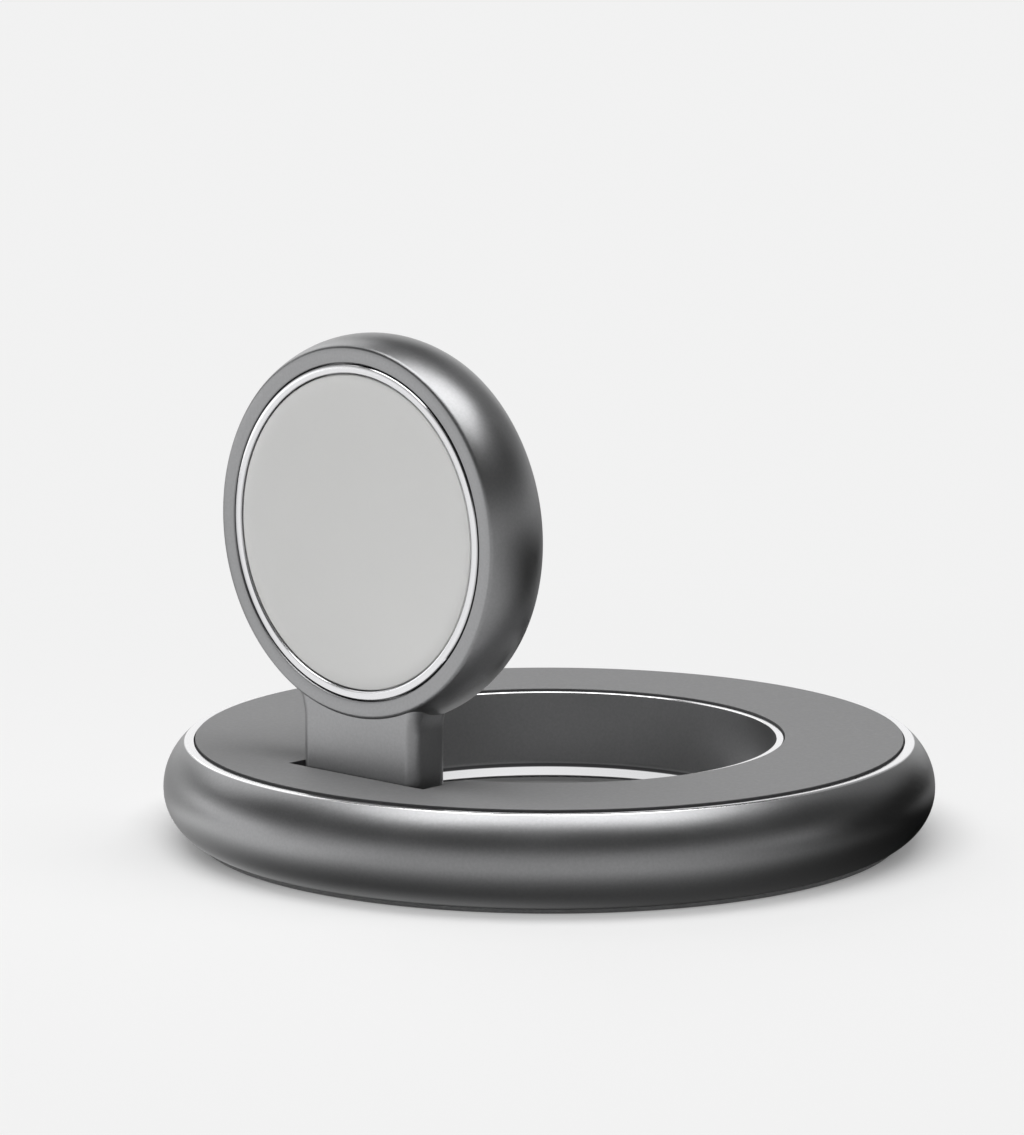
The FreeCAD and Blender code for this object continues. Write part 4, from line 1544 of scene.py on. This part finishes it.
@dataclass(frozen=True)
class Studio:
    """Pale floor, soft light and the camera.

    Tones are shares of the backdrop, and pairs of lengths are the radii that a tone fades between.
    """

    azimuth: float = 42.46
    pitch: float = 9.49
    eye: Place = (0.2850, -0.3166, 0.0962)
    lens: float = 147.5
    sensor: float = 36.0
    clip: Point = (0.01, 50.0)

    backdrop: float = 0.885
    floor_colour: float = 0.84
    floor_size: float = 12.0
    fade: Point = (50.0 * MM, 140.0 * MM)
    ring_edge: Point = (31.6 * MM, 33.8 * MM)
    side_share: float = 0.24
    front: Sector = Sector(0.0, 0.3, 0.95, 0.26)
    tail: Point = (37.0 * MM, 46.0 * MM)
    tail_share: float = 0.56
    # painted shadow: a darker ring of floor inside the opening, along the ring's inner wall
    inner_shadow_start: Point = (13.0 * MM, 19.0 * MM)
    inner_shadow_end: Point = (22.5 * MM, 34.0 * MM)
    inner_shadow_share: float = 0.84
    inner_shadow_tone: float = 0.115

    lit: Sector = Sector(-70.0, -1.0, 0.1)
    bright: Sector = Sector(-70.0, 0.8, 1.0, 0.6)
    corner: Sector = Sector(-128.0, 0.75, 0.98, 0.38)
    back: Sector = Sector(150.0, 0.55, 0.85, 0.42)
    near_side: Sector = Sector(-70.0, -0.75, -0.05)
    shade_shift: float = 4.0 * MM
    contact: Point = (35.5 * MM, 47.0 * MM)
    contact_tone: float = 0.17
    left: Sector = Sector(-95.0, 0.66, 1.0, 0.19)
    # painted light and shade in reflections: a lighter band under the ring's left side, and in the
    # opening a painted shade with a painted light ring near the wall
    under_start: Point = (22.5 * MM, 24.5 * MM)
    under_end: Point = (33.0 * MM, 35.5 * MM)
    under: Sector = Sector(-50.0, 0.3, 1.0, 0.34)
    opening: Point = (22.8 * MM, 24.7 * MM)
    opening_shade: float = 0.04
    opening_core: Point = (6.0 * MM, 10.0 * MM)
    opening_tone: float = 0.42
    opening_rise: Point = (18.0 * MM, 20.0 * MM)
    opening_edge: float = 0.82

    horizon: float = 0.88
    ceiling: float = 0.055
    glow: Point = (0.04, 0.34)
    wall: float = 1.0
    wall_edges: Point = (0.80, 0.93)
    flag: Flag = Flag()
    aim: Place = (0.0, 0.0, 5.0 * MM)
    lamps: tuple[SoftBox, ...] = (
        SoftBox("overhead", 0.0, 90.0, 0.55, 0.74, 0.36, 4.3, (-0.01, -0.08)),
        SoftBox("left_back", -138.0, 36.0, 0.60, 0.46, 0.36, 1.5),
        SoftBox("right_back", 138.0, 34.0, 0.60, 0.46, 0.36, 0.3),
        SoftBox("left_strip", -106.0, 4.0, 0.36, 0.26, 0.05, 1.4),
    )

    def build(self) -> None:
        """Set the scene up."""
        self.build_camera()
        for lamp in self.lamps:
            lamp.place(self.azimuth, Vector(self.aim))
        self.flag.place(self.azimuth)
        self.build_floor()
        self.build_world()
        bpy.context.scene.view_settings.view_transform = "Standard"

    def build_camera(self) -> None:
        """Put the camera at the photograph's angle."""
        camera = bpy.data.cameras.new("camera")
        camera.lens = self.lens
        camera.sensor_width = self.sensor
        camera.clip_start, camera.clip_end = self.clip
        holder = linked("camera", camera)
        holder.location = self.eye
        holder.rotation_euler = (math.radians(90 - self.pitch), 0, math.radians(self.azimuth))
        bpy.context.scene.camera = holder

    def build_floor(self) -> None:
        """Lay the floor, which takes the shadow near the object, has a painted shadow inside the
        opening and fades into the backdrop.
        """
        material, graph = Graph.of_material("floor_pale")
        path = graph.node("ShaderNodeLightPath").socket.node
        names = ("Is Camera Ray", "Is Glossy Ray", "Is Transmission Ray", "Diffuse Depth")
        camera, glossy, through, bounces = (Value(graph, path.outputs[name]) for name in names)
        direct = graph.math("LESS_THAN", bounces, 0.5)
        floor = FloorMap(graph, self.azimuth)
        away, tail = floor.beyond(self.fade), floor.beyond(self.tail)
        share = (self.side_share + floor.side(self.front)) * (1 - tail) + tail * self.tail_share
        # painted shadow: inside the opening the camera sees the floor at a flat dark tone
        inner_shadow = floor.beyond(self.inner_shadow_start) * floor.within(self.inner_shadow_end)
        near = share * floor.beyond(self.ring_edge) * (1 - away) + inner_shadow * self.inner_shadow_share
        pale = camera * (near + away) + (glossy + through) * direct
        seen = 1 - inner_shadow * (1 - self.inner_shadow_tone)
        tone = camera * seen + (1 - camera) * self.floor_tone(floor)
        white = shade(WHITE, self.floor_colour)
        matt = graph.node("ShaderNodeBsdfDiffuse", inputs={"Color": white})
        glow = graph.node("ShaderNodeEmission", inputs={"Color": tone * self.backdrop})
        graph.end(graph.node("ShaderNodeMixShader", inputs={0: pale, 1: matt, 2: glow}))
        size = Matrix.Diagonal((self.floor_size, self.floor_size, 1, 1))
        staged_card("floor", size, material)

    def floor_tone(self, floor: FloorMap) -> Value:
        """Tone of the floor in reflections: shaded under the object, brightest on the lit side.

        Args:
            floor: The floor's masks.

        Returns:
            The tone, as a share of the backdrop.
        """
        lit = floor.side(self.lit) + floor.side(self.bright)
        light = lit * (1 - floor.side(self.corner)) + floor.side(self.back)
        shift = (1 - floor.side(self.near_side)) * self.shade_shift
        contact = floor.graph.step(floor.radius - shift, *self.contact)
        shaded = self.contact_tone + floor.side(self.left)
        # painted light: a lighter band under the ring on its left side; in the opening, painted shade
        # with a painted light ring near the wall
        under = floor.within(self.under_end) * floor.beyond(self.under_start)
        core = floor.within(self.opening_core) * self.opening_tone
        edge = floor.beyond(self.opening_rise) * self.opening_edge
        opening = floor.within(self.opening) * (self.opening_shade + core + edge)
        return light * (shaded + contact * (1 - shaded)) + under * floor.side(self.under) + opening

    def build_world(self) -> None:
        """Pale glow round the horizon and a pale wall behind the object, under a dim ceiling."""
        world = bpy.data.worlds.new("studio")
        bpy.context.scene.world = world
        world.use_nodes = True
        graph = Graph(world.node_tree)
        ray = graph.node("ShaderNodeTexCoord", output="Generated")
        _, _, rise = graph.axes(ray)
        room = self.horizon + graph.step(rise, *self.glow) * (self.ceiling - self.horizon)
        wall = graph.step(graph.facing(ray, self.azimuth + 180.0), *self.wall_edges)
        colour = room * (1 - wall) + wall * self.wall
        graph.end(graph.node("ShaderNodeBackground", inputs={"Color": colour}), "World")


def main() -> None:
    """Build the studio and every sub-assembly in order."""
    logging.basicConfig(level=logging.INFO, format="%(name)s: %(message)s")
    Studio().build()
    ring = RingBase.from_frame()
    ring.build()
    Hinge.from_frame().build(ring)
    ChargingHead.from_frame().build()
    Wardrobe.dress_inner_pieces()


if __name__ == "__main__":
    main()
